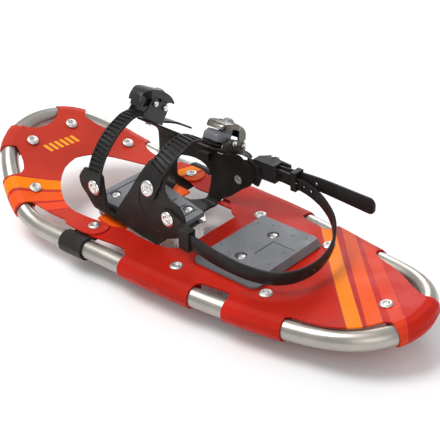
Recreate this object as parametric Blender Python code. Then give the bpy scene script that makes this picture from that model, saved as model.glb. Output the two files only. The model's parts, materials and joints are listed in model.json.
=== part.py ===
"""One right-foot snowshoe: tube frame, two-piece deck, strap-hung binding and fixed heel plate.

Lengths in the tables are millimetres.  X is the wearer's right, Y points to the toe, Z is up.
Heights marked "above the rim" are measured from the centre line of the frame tube.
"""
import math

import bmesh
import bpy
from mathutils import Matrix, Vector

MM = 0.001
COLLECTION_NAME = "snowshoe"

# ---- driving dimensions ------------------------------------------------------------------
RIM_HEIGHT = 27.0            # tube centre above the ground, standing on the crampon teeth
LENGTH_SHIFT = 0.9          # moves the outline so the length is centred on the origin
TUBE_RADIUS = 9.5
TUBE_SIDES = 12
RIM_STEPS = 4                # samples per control point
SHEET = 1.5                  # deck sheet thickness
GAP = 0.3                    # clearance between pieces that touch on the real object
# Right half of the rim, toe to tail, as control points of a closed cubic curve.
RIM_CONTROL = (
    (17.9, 269.8), (50.5, 253.4), (74.3, 213.8), (92.5, 164.5), (91.7, 107.2), (87.1, 38.5),
    (86.6, -35.1), (79.5, -105.3), (68.2, -166.6), (60.2, -213.9), (41.0, -243.4), (15.0, -256.3),
)
TOE_START = 130.0            # the flat pattern bends up from here to the toe
TOE_RADIUS = 126.4
TOE_ANGLE = math.radians(31.0)
TAIL_START = -140.0          # and, much less, from here to the tail
TAIL_RADIUS = 600.0
TAIL_ANGLE = math.radians(5.7)

WRAP_GAP = 0.6               # the sheet is faceted, so it stands a little further off the tube
WRAP_RADIUS = TUBE_RADIUS + WRAP_GAP + SHEET / 2
DECK_LOW = TUBE_RADIUS + WRAP_GAP
DECK_TOP = DECK_LOW + SHEET
FLAP_THICK = SHEET + 0.1
FLAP_MID = DECK_LOW - GAP - FLAP_THICK / 2
TONGUE_RISE = SHEET + GAP
TONGUE_RAMP = (126.0, 106.0)

PIVOT_Y = 81.0               # pivot strap centre line
PIVOT_Z = 5.6
STRAP_THICK = 3.0
BINDING_SLOPE = 0.115        # the binding rests with its toe end slightly up
BINDING_CENTRE_X = -1.5

RIVET_SPOTS = (
    ("deck_rivet_toe_left", -28.5, 225.8),
    ("deck_rivet_toe_right", 25.7, 225.1),
    ("deck_rivet_front_left", -66.0, 179.4),
    ("deck_rivet_front_right", 66.6, 178.8),
    ("deck_rivet_tongue_left", -69.2, 81.0),
    ("deck_rivet_tongue_right", 69.9, 81.0),
    ("deck_rivet_middle_left", -68.2, -35.5),
    ("deck_rivet_middle_right", 50.8, -36.0),
    ("deck_rivet_rear_left", -49.9, -130.4),
    ("deck_rivet_rear_right", 47.5, -125.5),
    ("deck_rivet_tail", -3.9, -227.6),
)


# ---- scene, materials and small mesh tools -----------------------------------------------
def clear_scene():
    for item in list(bpy.data.objects):
        bpy.data.objects.remove(item, do_unlink=True)


def make_collection():
    group = bpy.data.collections.new(COLLECTION_NAME)
    bpy.context.scene.collection.children.link(group)
    return group


def make_material(name, colour, metallic, roughness):
    material = bpy.data.materials.new(name)
    material.use_nodes = True
    shader = material.node_tree.nodes["Principled BSDF"]
    shader.inputs["Base Color"].default_value = (*colour, 1.0)
    shader.inputs["Metallic"].default_value = metallic
    shader.inputs["Roughness"].default_value = roughness
    return material


def make_materials():
    return {
        "tube": make_material("satin_aluminium", (0.56, 0.53, 0.49), 1.0, 0.35),
        "coral": make_material("coral_deck_sheet", (0.62, 0.07, 0.04), 0.0, 0.45),
        "red": make_material("red_deck_sheet", (0.45, 0.012, 0.008), 0.0, 0.42),
        "rivet": make_material("bright_rivet_steel", (0.75, 0.73, 0.70), 1.0, 0.22),
        "black": make_material("black_moulded_rubber", (0.028, 0.024, 0.021), 0.0, 0.5),
        "orange": make_material("orange_strap_rubber", (0.95, 0.13, 0.01), 0.0, 0.45),
        "plate": make_material("slate_grey_plastic", (0.16, 0.165, 0.175), 0.0, 0.5),
        "crampon": make_material("bright_crampon_alloy", (0.80, 0.79, 0.77), 1.0, 0.28),
        "lever": make_material("dark_lever_metal", (0.10, 0.092, 0.085), 0.8, 0.3),
        "button": make_material("grey_release_plastic", (0.14, 0.15, 0.17), 0.0, 0.35),
    }


def mesh_from(points, faces):
    body = bmesh.new()
    made = [body.verts.new(point) for point in points]
    for face in faces:
        body.faces.new([made[index] for index in face])
    bmesh.ops.recalc_face_normals(body, faces=body.faces)
    return body


def loft(rings, closed=False):
    """Skin a row of equal rings; an open row gets a flat cap at each end."""
    count = len(rings[0])
    points = [point for ring in rings for point in ring]
    faces = []
    last = len(rings) if closed else len(rings) - 1
    for row in range(last):
        here = row * count
        there = (row + 1) % len(rings) * count
        for side in range(count):
            nxt = (side + 1) % count
            faces.append((here + side, here + nxt, there + nxt, there + side))
    if not closed:
        faces.append(tuple(range(count)))
        faces.append(tuple(range((len(rings) - 1) * count, len(rings) * count)))
    return mesh_from(points, faces)


def lathe(profile, segments):
    """Turn (radius, height) pairs, first and last on the axis, about Z."""
    points = [Vector((0, 0, profile[0][1]))]
    for radius, height in profile[1:-1]:
        for step in range(segments):
            angle = 2 * math.pi * step / segments
            points.append(Vector((radius * math.cos(angle), radius * math.sin(angle), height)))
    points.append(Vector((0, 0, profile[-1][1])))
    rows = len(profile) - 2
    faces = []
    for step in range(segments):
        nxt = (step + 1) % segments
        faces.append((0, 1 + nxt, 1 + step))
        for row in range(rows - 1):
            here = 1 + row * segments
            there = here + segments
            faces.append((here + step, here + nxt, there + nxt, there + step))
        top = 1 + (rows - 1) * segments
        faces.append((top + step, top + nxt, len(points) - 1))
    return mesh_from(points, faces)


def prism(outline, low, high):
    """Straight-sided block on a plan outline."""
    count = len(outline)
    points = [Vector((x, y, low)) for x, y in outline]
    points += [Vector((x, y, high)) for x, y in outline]
    faces = [tuple(range(count)), tuple(range(count, 2 * count))]
    for side in range(count):
        nxt = (side + 1) % count
        faces.append((side, nxt, count + nxt, count + side))
    return mesh_from(points, faces)


def box(low, high):
    outline = ((low[0], low[1]), (high[0], low[1]), (high[0], high[1]), (low[0], high[1]))
    return prism(outline, low[2], high[2])


def cylinder(centre, axis, radius, length, sides=20):
    body = lathe(((0, -length / 2), (radius, -length / 2), (radius, length / 2), (0, length / 2)), sides)
    turn = Vector((0, 0, 1)).rotation_difference(Vector(axis)).to_matrix().to_4x4()
    bmesh.ops.transform(body, matrix=Matrix.Translation(Vector(centre)) @ turn, verts=body.verts)
    return body


def temporary_object(body):
    mesh = bpy.data.meshes.new("temporary")
    body.to_mesh(mesh)
    item = bpy.data.objects.new("temporary", mesh)
    bpy.context.scene.collection.objects.link(item)
    return item


def combine(base, tool, operation):
    """Exact Boolean of two bmesh bodies; both inputs are used up."""
    target = temporary_object(base)
    cutter = temporary_object(tool)
    step = target.modifiers.new("combine", "BOOLEAN")
    step.operation = operation
    step.solver = "EXACT"
    step.object = cutter
    view = bpy.context.evaluated_depsgraph_get()
    result = bpy.data.meshes.new_from_object(target.evaluated_get(view))
    out = bmesh.new()
    out.from_mesh(result)
    bmesh.ops.remove_doubles(out, verts=out.verts, dist=0.001)
    bmesh.ops.dissolve_degenerate(out, edges=out.edges, dist=0.0005)
    bpy.data.meshes.remove(result)
    for item in (target, cutter):
        mesh = item.data
        bpy.data.objects.remove(item, do_unlink=True)
        bpy.data.meshes.remove(mesh)
    base.free()
    tool.free()
    return out


def join_all(bodies):
    out = bodies[0]
    for body in bodies[1:]:
        out = combine(out, body, "UNION")
    return out


def cut_all(base, tools):
    for tool in tools:
        base = combine(base, tool, "DIFFERENCE")
    return base


def slice_body(body, axis, values):
    """Add edge loops at set positions so the body can be bent smoothly afterwards."""
    bmesh.ops.triangulate(body, faces=body.faces)
    normal = Vector((1, 0, 0)) if axis == 0 else Vector((0, 1, 0))
    for value in values:
        geometry = body.verts[:] + body.edges[:] + body.faces[:]
        bmesh.ops.bisect_plane(body, geom=geometry, dist=0.0005, plane_co=normal * value, plane_no=normal)
    bmesh.ops.triangulate(body, faces=body.faces)
    return body


def mapped(body, rule):
    for vert in body.verts:
        vert.co = rule(vert.co)
    return body


def moved(body, matrix):
    bmesh.ops.transform(body, matrix=matrix, verts=body.verts)
    return body


def bevelled(body, width, angle=math.radians(50), segments=2):
    sharp = [edge for edge in body.edges if edge.is_manifold and edge.calc_face_angle(0) > angle]
    bmesh.ops.bevel(body, geom=sharp, offset=width, segments=segments, profile=0.5, affect="EDGES",
                    clamp_overlap=True)
    return body


class Builder:
    """Turns finished bodies into named, parented objects in metres."""

    def __init__(self, group, materials):
        self.group = group
        self.materials = materials
        self.objects = {}

    def add(self, name, body, material, origin=(0, 0, 0), rotation_x=0.0, sharp=35.0):
        centre = Vector(origin)
        bmesh.ops.recalc_face_normals(body, faces=body.faces)
        if body.calc_volume(signed=True) < 0:
            bmesh.ops.reverse_faces(body, faces=body.faces)
        shift = Matrix.Translation(-centre)
        bmesh.ops.transform(body, matrix=Matrix.Diagonal((MM, MM, MM, 1)) @ shift, verts=body.verts)
        mesh = bpy.data.meshes.new(name)
        body.to_mesh(mesh)
        body.free()
        return self.place(name, mesh, material, centre, rotation_x, sharp)

    def place(self, name, mesh, material, centre, rotation_x=0.0, sharp=35.0):
        if not mesh.materials:
            mesh.materials.append(self.materials[material])
            mesh.shade_smooth()
            mesh.set_sharp_from_angle(angle=math.radians(sharp))
        item = bpy.data.objects.new(name, mesh)
        item.location = Vector((centre[0], centre[1] + LENGTH_SHIFT, centre[2] + RIM_HEIGHT)) * MM
        item.rotation_euler = (rotation_x, 0.0, 0.0)
        self.group.objects.link(item)
        self.objects[name] = item
        return item


# ---- rim curve and the toe and tail bends ------------------------------------------------
def rim_point(position):
    """Centre line of the right half: 0 is the toe centre, 12 the tail centre."""
    loop = [*RIM_CONTROL, *((-x, y) for x, y in reversed(RIM_CONTROL))]
    place = (position - 0.5) % len(loop)
    index = int(math.floor(place))
    t = place - index
    weights = (
        (1 - t) ** 3 / 6,
        (3 * t ** 3 - 6 * t ** 2 + 4) / 6,
        (-3 * t ** 3 + 3 * t ** 2 + 3 * t + 1) / 6,
        t ** 3 / 6,
    )
    total = Vector((0.0, 0.0))
    for offset, weight in zip((-1, 0, 1, 2), weights):
        total += Vector(loop[(index + offset) % len(loop)]) * weight
    return total


def rim_outward(position):
    step = 0.01
    run = (rim_point(position + step) - rim_point(position - step)).normalized()
    return Vector((-run.y, run.x))


def rim_position(axis, value, low, high):
    """Find where the rim curve passes a given X (axis 0) or Y (axis 1)."""
    rising = rim_point(high)[axis] > rim_point(low)[axis]
    for _ in range(40):
        middle = (low + high) / 2
        if (rim_point(middle)[axis] < value) == rising:
            low = middle
        else:
            high = middle
    return (low + high) / 2


def bend_angle(along):
    if along > TOE_START:
        return min((along - TOE_START) / TOE_RADIUS, TOE_ANGLE)
    if along < TAIL_START:
        return max((along - TAIL_START) / TAIL_RADIUS, -TAIL_ANGLE)
    return 0.0


def bend(point):
    """Carry a point of the flat pattern (x, along, height) onto the bent snowshoe."""
    x, along, height = point
    angle = bend_angle(along)
    if angle > 0:
        base_y = TOE_START + TOE_RADIUS * math.sin(angle)
        base_z = TOE_RADIUS * (1 - math.cos(angle))
        rest = along - TOE_START - TOE_RADIUS * angle
    elif angle < 0:
        base_y = TAIL_START + TAIL_RADIUS * math.sin(angle)
        base_z = TAIL_RADIUS * (1 - math.cos(angle))
        rest = along - TAIL_START - TAIL_RADIUS * angle
    else:
        base_y = along
        base_z = 0.0
        rest = 0.0
    y = base_y + rest * math.cos(angle) - height * math.sin(angle)
    z = base_z + rest * math.sin(angle) + height * math.cos(angle)
    return Vector((x, y, z))


def flat_along(y):
    """Flat-pattern distance of a plan Y measured on top of the bent deck."""
    if y > TOE_START:
        radius, start, limit = TOE_RADIUS - DECK_TOP, TOE_START, TOE_ANGLE
    elif y < TAIL_START:
        radius, start, limit = TAIL_RADIUS - DECK_TOP, TAIL_START, -TAIL_ANGLE
    else:
        return y
    edge = start + radius * math.sin(limit)
    full = TOE_RADIUS * limit if y > 0 else TAIL_RADIUS * limit
    if abs(y) > abs(edge):
        return start + full + (y - edge) / math.cos(limit)
    angle = math.asin((y - start) / radius)
    return start + angle * (TOE_RADIUS if y > 0 else TAIL_RADIUS)


TOE_CUTS = (137, 150, 163, 176, 187, 198)
TAIL_CUTS = (-155, -177, -199)


# ---- frame and deck ----------------------------------------------------------------------
def build_frame_tube(build):
    rings = []
    for step in range(24 * RIM_STEPS):
        position = step / RIM_STEPS
        centre = rim_point(position)
        outward = rim_outward(position)
        ring = []
        for side in range(TUBE_SIDES):
            angle = 2 * math.pi * side / TUBE_SIDES
            across = outward * (TUBE_RADIUS * math.cos(angle))
            ring.append(bend((centre.x + across.x, centre.y + across.y, TUBE_RADIUS * math.sin(angle))))
        rings.append(ring)
    build.add("frame_tube", loft(rings, closed=True), "tube")


def offset_path(path, distance):
    out = []
    for index, point in enumerate(path):
        before = Vector(path[max(index - 1, 0)])
        after = Vector(path[min(index + 1, len(path) - 1)])
        run = (after - before).normalized()
        out.append(Vector(point) + Vector((-run.y, run.x)) * distance)
    return out


def wrap_section(flap):
    """Cross-section of a deck tab: over the tube, round it and back under the deck."""
    path = [(-5.0, WRAP_RADIUS)]
    edge = Vector((-12.5, FLAP_MID))
    last = math.atan2(edge.y, edge.x) + math.acos(WRAP_RADIUS / edge.length) - 2 * math.pi
    steps = 8
    for step in range(steps + 1):
        angle = math.pi / 2 + (last - math.pi / 2) * step / steps
        path.append((WRAP_RADIUS * math.cos(angle), WRAP_RADIUS * math.sin(angle)))
    path += [tuple(edge), (-18.0, FLAP_MID), (-flap, FLAP_MID)]
    outer = offset_path(path, FLAP_THICK / 2)
    inner = offset_path(path, -FLAP_THICK / 2)
    return outer + inner[::-1]


def facet_section(position):
    """Centre and outward direction on the faceted tube, so that a tab shares its facets."""
    low = math.floor(position * RIM_STEPS + 1e-6) / RIM_STEPS
    high = low + 1 / RIM_STEPS
    share = (position - low) * RIM_STEPS
    centre = rim_point(low).lerp(rim_point(high), share)
    outward = rim_outward(low).lerp(rim_outward(high), share)
    return centre, outward


def tab_body(start, end, side, flap):
    section = wrap_section(flap)
    rings = []
    first = math.ceil(start * RIM_STEPS + 0.1)
    last = math.floor(end * RIM_STEPS - 0.1)
    between = [sample / RIM_STEPS for sample in range(first, last + 1)]
    for position in (start, *between, end):
        centre, outward = facet_section(position)
        ring = []
        for across, height in section:
            x = centre.x + outward.x * across
            ring.append(Vector((side * x, centre.y + outward.y * across, height)))
        rings.append(ring)
    return loft(rings)


def rim_run(start, end, inset, steps):
    """Plan points that follow the tube a set distance inside its centre line."""
    out = []
    for step in range(steps + 1):
        position = start + (end - start) * step / steps
        point = rim_point(position) - rim_outward(position) * inset
        out.append((point.x, point.y))
    return out


def curve_through(points, steps=2):
    """Smooth open curve through plan points."""
    ends = [2 * Vector(points[0]) - Vector(points[1])]
    guide = ends + [Vector(point) for point in points]
    guide.append(2 * Vector(points[-1]) - Vector(points[-2]))
    out = []
    for index in range(1, len(guide) - 2):
        a, b, c, d = guide[index - 1:index + 3]
        for step in range(steps):
            t = step / steps
            out.append(tuple(0.5 * (2 * b + (c - a) * t + (2 * a - 5 * b + 4 * c - d) * t * t
                                    + (3 * b - a - 3 * c + d) * t ** 3)))
    out.append(tuple(points[-1]))
    return out


def rivet_holes(names):
    holes = []
    for name, x, y in RIVET_SPOTS:
        if name in names:
            holes.append(cylinder((x, flat_along(y), DECK_LOW), (0, 0, 1), 2.7, 13.0, 8))
    return holes


def on_pattern(points):
    """Move plan points of the bent deck onto the flat pattern."""
    return [(x, flat_along(y)) for x, y in points]


def front_deck_half():
    toe_tab = (rim_position(0, 28.0, 0.0, 3.0), rim_position(0, 52.0, 0.0, 3.0))
    side_tab = (rim_position(1, flat_along(201.5), 1.5, 4.0), rim_position(1, flat_along(169.5), 1.5, 5.0))
    outline = on_pattern(curve_through([(0.0, 235.0), (11.0, 236.5), (20.0, 240.5), (25.5, 246.0)]))
    outline += rim_run(*toe_tab, 1.5, 3)
    outline += on_pattern(curve_through([(48.0, 229.5), (50.0, 221.0), (54.0, 211.0), (60.0, 203.0),
                                         (67.0, 200.0)]))
    outline += rim_run(*side_tab, 1.5, 3)
    outline += on_pattern(curve_through([(82.5, 167.5), (79.5, 158.0), (78.0, 140.0), (77.5, 117.0)]))
    outline += [(82.5, 110.0), (84.0, 98.0)]
    outline += curve_through([(84.0, 82.0), (82.0, 72.5), (76.0, 66.5), (68.5, 64.8), (61.0, 67.5),
                              (57.5, 74.0)])
    outline += on_pattern(curve_through([(59.5, 84.0), (61.5, 100.0), (61.5, 112.0), (59.0, 131.0),
                                         (52.0, 151.0), (38.0, 171.5), (19.0, 185.5), (0.0, 190.0)]))
    return outline, toe_tab, side_tab


def mirrored_outline(half):
    """Close a right-half outline whose first and last points lie on the centre line."""
    return list(half) + [(-x, y) for x, y in reversed(half[1:-1])]


def raise_tongue(point):
    """The rear of the front deck climbs onto the rear deck so the two can be riveted."""
    start, end = TONGUE_RAMP
    share = min(max((start - point.y) / (start - end), 0.0), 1.0)
    return Vector((point.x, point.y, point.z + TONGUE_RISE * share * share * (3 - 2 * share)))


def build_front_deck(build):
    half, toe_tab, side_tab = front_deck_half()
    sheet = prism(mirrored_outline(half), DECK_LOW, DECK_TOP)
    bodies = [sheet]
    for side in (1, -1):
        bodies.append(tab_body(*toe_tab, side, 32.0))
        bodies.append(tab_body(*side_tab, side, 27.0))
    body = join_all(bodies)
    tongue_names = ("deck_rivet_tongue_left", "deck_rivet_tongue_right")
    toe_names = [name for name, _, y in RIVET_SPOTS if y > 150]
    body = cut_all(body, rivet_holes(tongue_names) + rivet_holes(toe_names))
    slice_body(body, 1, (126, 119, 113, 106, *TOE_CUTS))
    mapped(body, lambda point: bend(raise_tongue(point)))
    build.add("front_deck", body, "coral")


def rear_deck_side(side):
    """One side of the rear deck, from the front opening round to the tail, as plan points."""
    front_tab = (rim_position(1, 17.0, 4.0, 7.0), rim_position(1, -71.0, 5.0, 8.5))
    rear_tab = (rim_position(1, -109.0, 6.0, 9.0), rim_position(1, -168.0, 7.0, 10.0))
    outline = [(0.0, -18.0), (30.0, -18.0)]
    if side > 0:
        outline += [(35.0, -16.5), (35.5, -13.0), (38.0, -8.0)]
    else:
        outline += curve_through([(38.0, -17.0), (46.0, -12.5), (51.5, -4.0)])
    outline += curve_through([(53.5, 8.0), (53.8, 26.0), (52.5, 44.0), (53.0, 58.0), (58.5, 72.0),
                              (62.0, 88.0)])
    outline += [(63.5, 97.0), (80.0, 97.0), (82.0, 90.0)]
    outline += curve_through([(82.0, 70.0), (79.5, 52.0), (77.5, 36.0), (78.0, 27.0)])
    outline += rim_run(*front_tab, 1.5, 4)
    outline += curve_through([(77.0, -70.5), (73.5, -75.0), (71.0, -90.0), (69.5, -103.0), (72.5, -108.0)])
    outline += rim_run(*rear_tab, 1.5, 3)
    if side > 0:
        edge = [(62.0, -170.0), (56.0, -182.0), (50.5, -197.0), (42.5, -213.0), (33.0, -228.0),
                (26.5, -240.0)]
    else:
        edge = [(63.5, -171.0), (62.5, -185.0), (60.0, -199.0), (54.5, -215.0), (43.0, -231.0),
                (27.5, -241.0)]
    outline += on_pattern(curve_through(edge))
    return outline, front_tab, rear_tab


def build_rear_deck(build):
    right, front_tab, rear_tab = rear_deck_side(1)
    left = rear_deck_side(-1)[0]
    tail_tab = (rim_position(0, 25.0, 9.5, 12.0), 12.0)
    tail_edge = rim_run(*tail_tab, 1.5, 3)
    outline = right + tail_edge
    outline += [(-x, y) for x, y in reversed(left[1:] + tail_edge[:-1])]
    bodies = [prism(outline, DECK_LOW, DECK_TOP)]
    bodies.append(tab_body(*front_tab, 1, 42.0))
    bodies.append(tab_body(*front_tab, -1, 25.0))
    for side in (1, -1):
        bodies.append(tab_body(*rear_tab, side, 34.0))
    bodies.append(tab_body(tail_tab[0], 24 - tail_tab[0], 1, 36.0))
    body = join_all(bodies)
    names = [name for name, _, y in RIVET_SPOTS if y < 100]
    body = cut_all(body, rivet_holes(names))
    screws = [cylinder((x, y, 9.0), (0, 0, 1), 2.4, 12.0, 8) for x, y in HEEL_SCREWS]
    body = cut_all(body, screws)
    slice_body(body, 1, TAIL_CUTS)
    build.add("rear_deck", mapped(body, bend), "red")


RIVET_PROFILE = (
    (0, -5.0), (3.0, -5.0), (3.0, -4.1), (2.2, -4.1), (2.2, 0.3), (6.4, 0.3), (5.6, 1.5),
    (3.2, 1.8), (2.4, 1.0), (0, 0.8),
)


def build_deck_rivets(build):
    shared = None
    for name, x, y in RIVET_SPOTS:
        along = flat_along(y)
        rise = TONGUE_RISE if "tongue" in name else 0.0
        if along > TOE_START:
            rise = 0.35
        centre = bend((x, along, DECK_TOP + rise))
        if shared is None:
            shared = build.add(name, lathe(RIVET_PROFILE, 10), "rivet").data
            item = build.objects[name]
            item.location = Vector((centre.x, centre.y + LENGTH_SHIFT, centre.z + RIM_HEIGHT)) * MM
            item.rotation_euler = (bend_angle(along), 0.0, 0.0)
        else:
            build.place(name, shared, "rivet", centre, bend_angle(along))


# ---- pivot strap and crampons ------------------------------------------------------------
SLEEVE_HALF = 15.5
SLEEVE_THICK = 2.0
SLEEVE_Y = 84.5
SLEEVE_INNER_X = 52.5


def build_strap_sleeve(build, name, side):
    """Rubber loop round the tube whose tail runs inboard under the deck."""
    centre = rim_point(rim_position(1, SLEEVE_Y, 3.0, 6.0))
    radius = TUBE_RADIUS + WRAP_GAP + SLEEVE_THICK / 2
    path = [(SLEEVE_INNER_X - centre.x, PIVOT_Z), (-20.0, PIVOT_Z)]
    first = 147.0
    steps = 12
    for step in range(steps + 1):
        angle = math.radians(first - (first + 187.0) * step / steps)
        path.append((radius * math.cos(angle), radius * math.sin(angle)))
    outer = offset_path(path, SLEEVE_THICK / 2)
    inner = offset_path(path, -SLEEVE_THICK / 2)
    section = outer + inner[::-1]
    rings = []
    for along in (SLEEVE_Y - SLEEVE_HALF, SLEEVE_Y + SLEEVE_HALF):
        shift = rim_point(rim_position(1, along, 2.5, 7.0)).x
        rings.append([Vector((side * (shift + across), along, height)) for across, height in section])
    build.add(name, loft(rings), "black")


def pitch_height(y, offset):
    """Height of a layer of the pitched binding at a given Y."""
    return offset + (y - PIVOT_Y) * BINDING_SLOPE


def pitched(body):
    return mapped(body, lambda p: Vector((p.x, p.y, p.z + (p.y - PIVOT_Y) * BINDING_SLOPE)))


CRAMPON_LEVEL = PIVOT_Z + STRAP_THICK / 2 + GAP     # underside of the toe crampon at the pivot
CRAMPON_THICK = 2.0
HARNESS_LEVEL = CRAMPON_LEVEL + CRAMPON_THICK + GAP
HARNESS_THICK = 2.4
PLATE_LEVEL = HARNESS_LEVEL + HARNESS_THICK + GAP
PLATE_THICK = 5.0
SINK = 2.9                   # depth of the counterbore that takes a screw head
SINK_RADIUS = 6.2
BINDING_BOLTS = ((-18.5, 103.5), (16.0, 103.5), (-17.5, 31.5), (15.5, 31.5))


def bolt_holes(level_low, level_high, radius):
    middle = (level_low + level_high) / 2
    span = level_high - level_low
    return [cylinder((x, y, middle), (0, 0, 1), radius, span, 8) for x, y in BINDING_BOLTS]


def build_strap_middle(build):
    half = SLEEVE_INNER_X - 1.2
    low = PIVOT_Z - STRAP_THICK / 2
    body = box((-half, PIVOT_Y - 16.5, low), (half, PIVOT_Y + 16.5, low + STRAP_THICK))
    bevelled(body, 0.6)
    pitched(body)
    build.add("pivot_strap_middle", body, "orange", origin=(0, PIVOT_Y, PIVOT_Z))


def tooth_row(start, end, top, base, tips, depth):
    """Saw outline in (run, height): a strip with pointed teeth along its lower edge."""
    outline = [(start, top), (start, base)]
    pitch = (end - start) / tips
    for tip in range(tips):
        left = start + pitch * tip
        outline.append((left + pitch * 0.12, base))
        outline.append((left + pitch * 0.42, depth))
        outline.append((left + pitch * 0.58, depth))
        outline.append((left + pitch * 0.88, base))
    outline += [(end, base), (end, top)]
    return outline


def upright_plate(outline, axis, low, high):
    """Extrude a (run, height) outline into a standing plate; axis 0 faces X, axis 1 faces Y."""
    body = prism(outline, low, high)
    if axis == 0:
        return mapped(body, lambda p: Vector((p.z, p.x, p.y)))
    return mapped(body, lambda p: Vector((p.x, p.z, p.y)))


def build_toe_crampon(build):
    low = CRAMPON_LEVEL
    top = low + CRAMPON_THICK
    floor = -RIM_HEIGHT
    centre = BINDING_CENTRE_X
    front_y = 120.0
    rear_y = 13.0
    wide = 33.0
    plan = ((centre - wide, rear_y + 12), (centre - wide + 10, rear_y), (centre + wide - 10, rear_y),
            (centre + wide, rear_y + 12), (centre + wide, front_y), (centre - wide, front_y))
    bodies = [pitched(prism(plan, low, top))]
    front_level = pitch_height(front_y, top)
    rear_level = pitch_height(rear_y, top)
    front = tooth_row(centre - wide, centre + wide, front_level - 0.4, front_level - 8, 4, floor)
    rear = tooth_row(centre - wide + 10, centre + wide - 10, rear_level - 0.4, rear_level - 7, 2, floor)
    bodies.append(upright_plate(front, 1, front_y - CRAMPON_THICK, front_y))
    bodies.append(upright_plate(rear, 1, rear_y, rear_y + CRAMPON_THICK))
    for side in (-1, 1):
        edge = centre + side * wide
        inner = edge - side * CRAMPON_THICK
        outline = [(front_y, pitch_height(front_y, top) - 0.5), (front_y, 4.0), (PIVOT_Y + 21, 1.0),
                   (PIVOT_Y + 20, pitch_height(PIVOT_Y + 20, low - 0.05)),
                   (PIVOT_Y - 20, pitch_height(PIVOT_Y - 20, low - 0.05)),
                   (PIVOT_Y - 22, -2.0), (52.0, -12.0), (48.0, -24.0), (44.0, -24.0), (38.0, -10.0),
                   (27.0, -4.0), (rear_y + 12, -1.0),
                   (rear_y + 12, pitch_height(rear_y + 12, top) - 0.5)]
        bodies.append(upright_plate(outline, 0, min(edge, inner), max(edge, inner)))
    body = join_all(bodies)
    body = cut_all(body, bolt_holes(low - 12, top + 12, 2.4))
    build.add("toe_crampon", body, "crampon", origin=(0, PIVOT_Y, PIVOT_Z), sharp=25)


HEEL_CENTRE = (-3.6, -82.0)
HEEL_SCREWS = ((19.4, -80.3), (-26.6, -80.3))
PAD_BASE = DECK_TOP + GAP
PAD_TOP = 20.2


def rounded_rectangle(low, high, radius, steps=4):
    corners = ((high[0], high[1], 0), (low[0], high[1], 90), (low[0], low[1], 180), (high[0], low[1], 270))
    out = []
    for x, y, turn in corners:
        sx = x - math.copysign(radius, x - (low[0] + high[0]) / 2)
        sy = y - math.copysign(radius, y - (low[1] + high[1]) / 2)
        for step in range(steps + 1):
            angle = math.radians(turn + 90 * step / steps)
            out.append((sx + radius * math.cos(angle), sy + radius * math.sin(angle)))
    return out


def build_heel_pad(build):
    flange = prism(rounded_rectangle((-53.5, -121.0), (43.5, -41.0), 8.0, 3), PAD_BASE, PAD_BASE + 2.2)
    lower = rounded_rectangle((-46.0, -121.5), (44.0, -45.0), 6.0)
    upper = rounded_rectangle((-36.0, -118.0), (41.5, -48.0), 4.0)
    rings = [[Vector((x, y, PAD_BASE + 1.0)) for x, y in lower], [Vector((x, y, PAD_TOP)) for x, y in upper]]
    body = combine(flange, loft(rings), "UNION")
    grooves = [box((-16.5, -89.0, PAD_TOP - 1.0), (10.5, -87.8, PAD_TOP + 1)),
               box((9.3, -115.0, PAD_TOP - 1.0), (10.5, -87.8, PAD_TOP + 1))]
    body = cut_all(body, [combine(*grooves, "UNION")])
    holes = [cylinder((x, y, 16), (0, 0, 1), 2.4, 14, 8) for x, y in HEEL_SCREWS]
    depth = PAD_TOP - SINK + 2.0
    holes += [cylinder((x, y, depth), (0, 0, 1), SINK_RADIUS, 4.0, 10) for x, y in HEEL_SCREWS]
    body = cut_all(body, holes)
    build.add("heel_pad", body, "plate")


def build_heel_crampon(build):
    top = FLAP_MID - FLAP_THICK / 2 - GAP
    low = top - CRAMPON_THICK
    left, right = HEEL_CENTRE[0] - 36.0, HEEL_CENTRE[0] + 36.0
    rear, front = -116.0, -50.0
    bodies = [box((left, rear, low), (right, front, top))]
    outline = tooth_row(rear, front, top - 0.4, -4.0, 3, -RIM_HEIGHT)
    bodies.append(upright_plate(outline, 0, left, left + CRAMPON_THICK))
    bodies.append(upright_plate(outline, 0, right - CRAMPON_THICK, right))
    body = join_all(bodies)
    body = cut_all(body, [cylinder((x, y, low), (0, 0, 1), 2.4, 14, 8) for x, y in HEEL_SCREWS])
    build.add("heel_crampon", body, "crampon", sharp=25)


def screw_body(length, head, tail):
    """Dome-headed screw with a cross recess and a lock nut on its far end, head face at zero."""
    profile = ((0, -length - 3.5), (tail, -length - 3.5), (tail, -length), (1.9, -length), (1.9, 0.3),
               (head, 0.3), (head * 0.75, 2.0), (0, 2.6))
    body = lathe(profile, 10)
    reach = head * 0.45
    slots = [box((-reach, -0.6, 1.5), (reach, 0.6, 4.0)), box((-0.6, -reach, 1.5), (0.6, reach, 4.0))]
    return cut_all(body, [combine(*slots, "UNION")])


def build_heel_screws(build):
    low = FLAP_MID - FLAP_THICK / 2 - GAP - CRAMPON_THICK
    for name, spot in zip(("heel_pad_screw_right", "heel_pad_screw_left"), HEEL_SCREWS):
        body = screw_body(PAD_TOP - SINK - low + 0.3, 5.2, 4.2)
        moved(body, Matrix.Translation((spot[0], spot[1], PAD_TOP - SINK)))
        build.add(name, body, "rivet")


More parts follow.
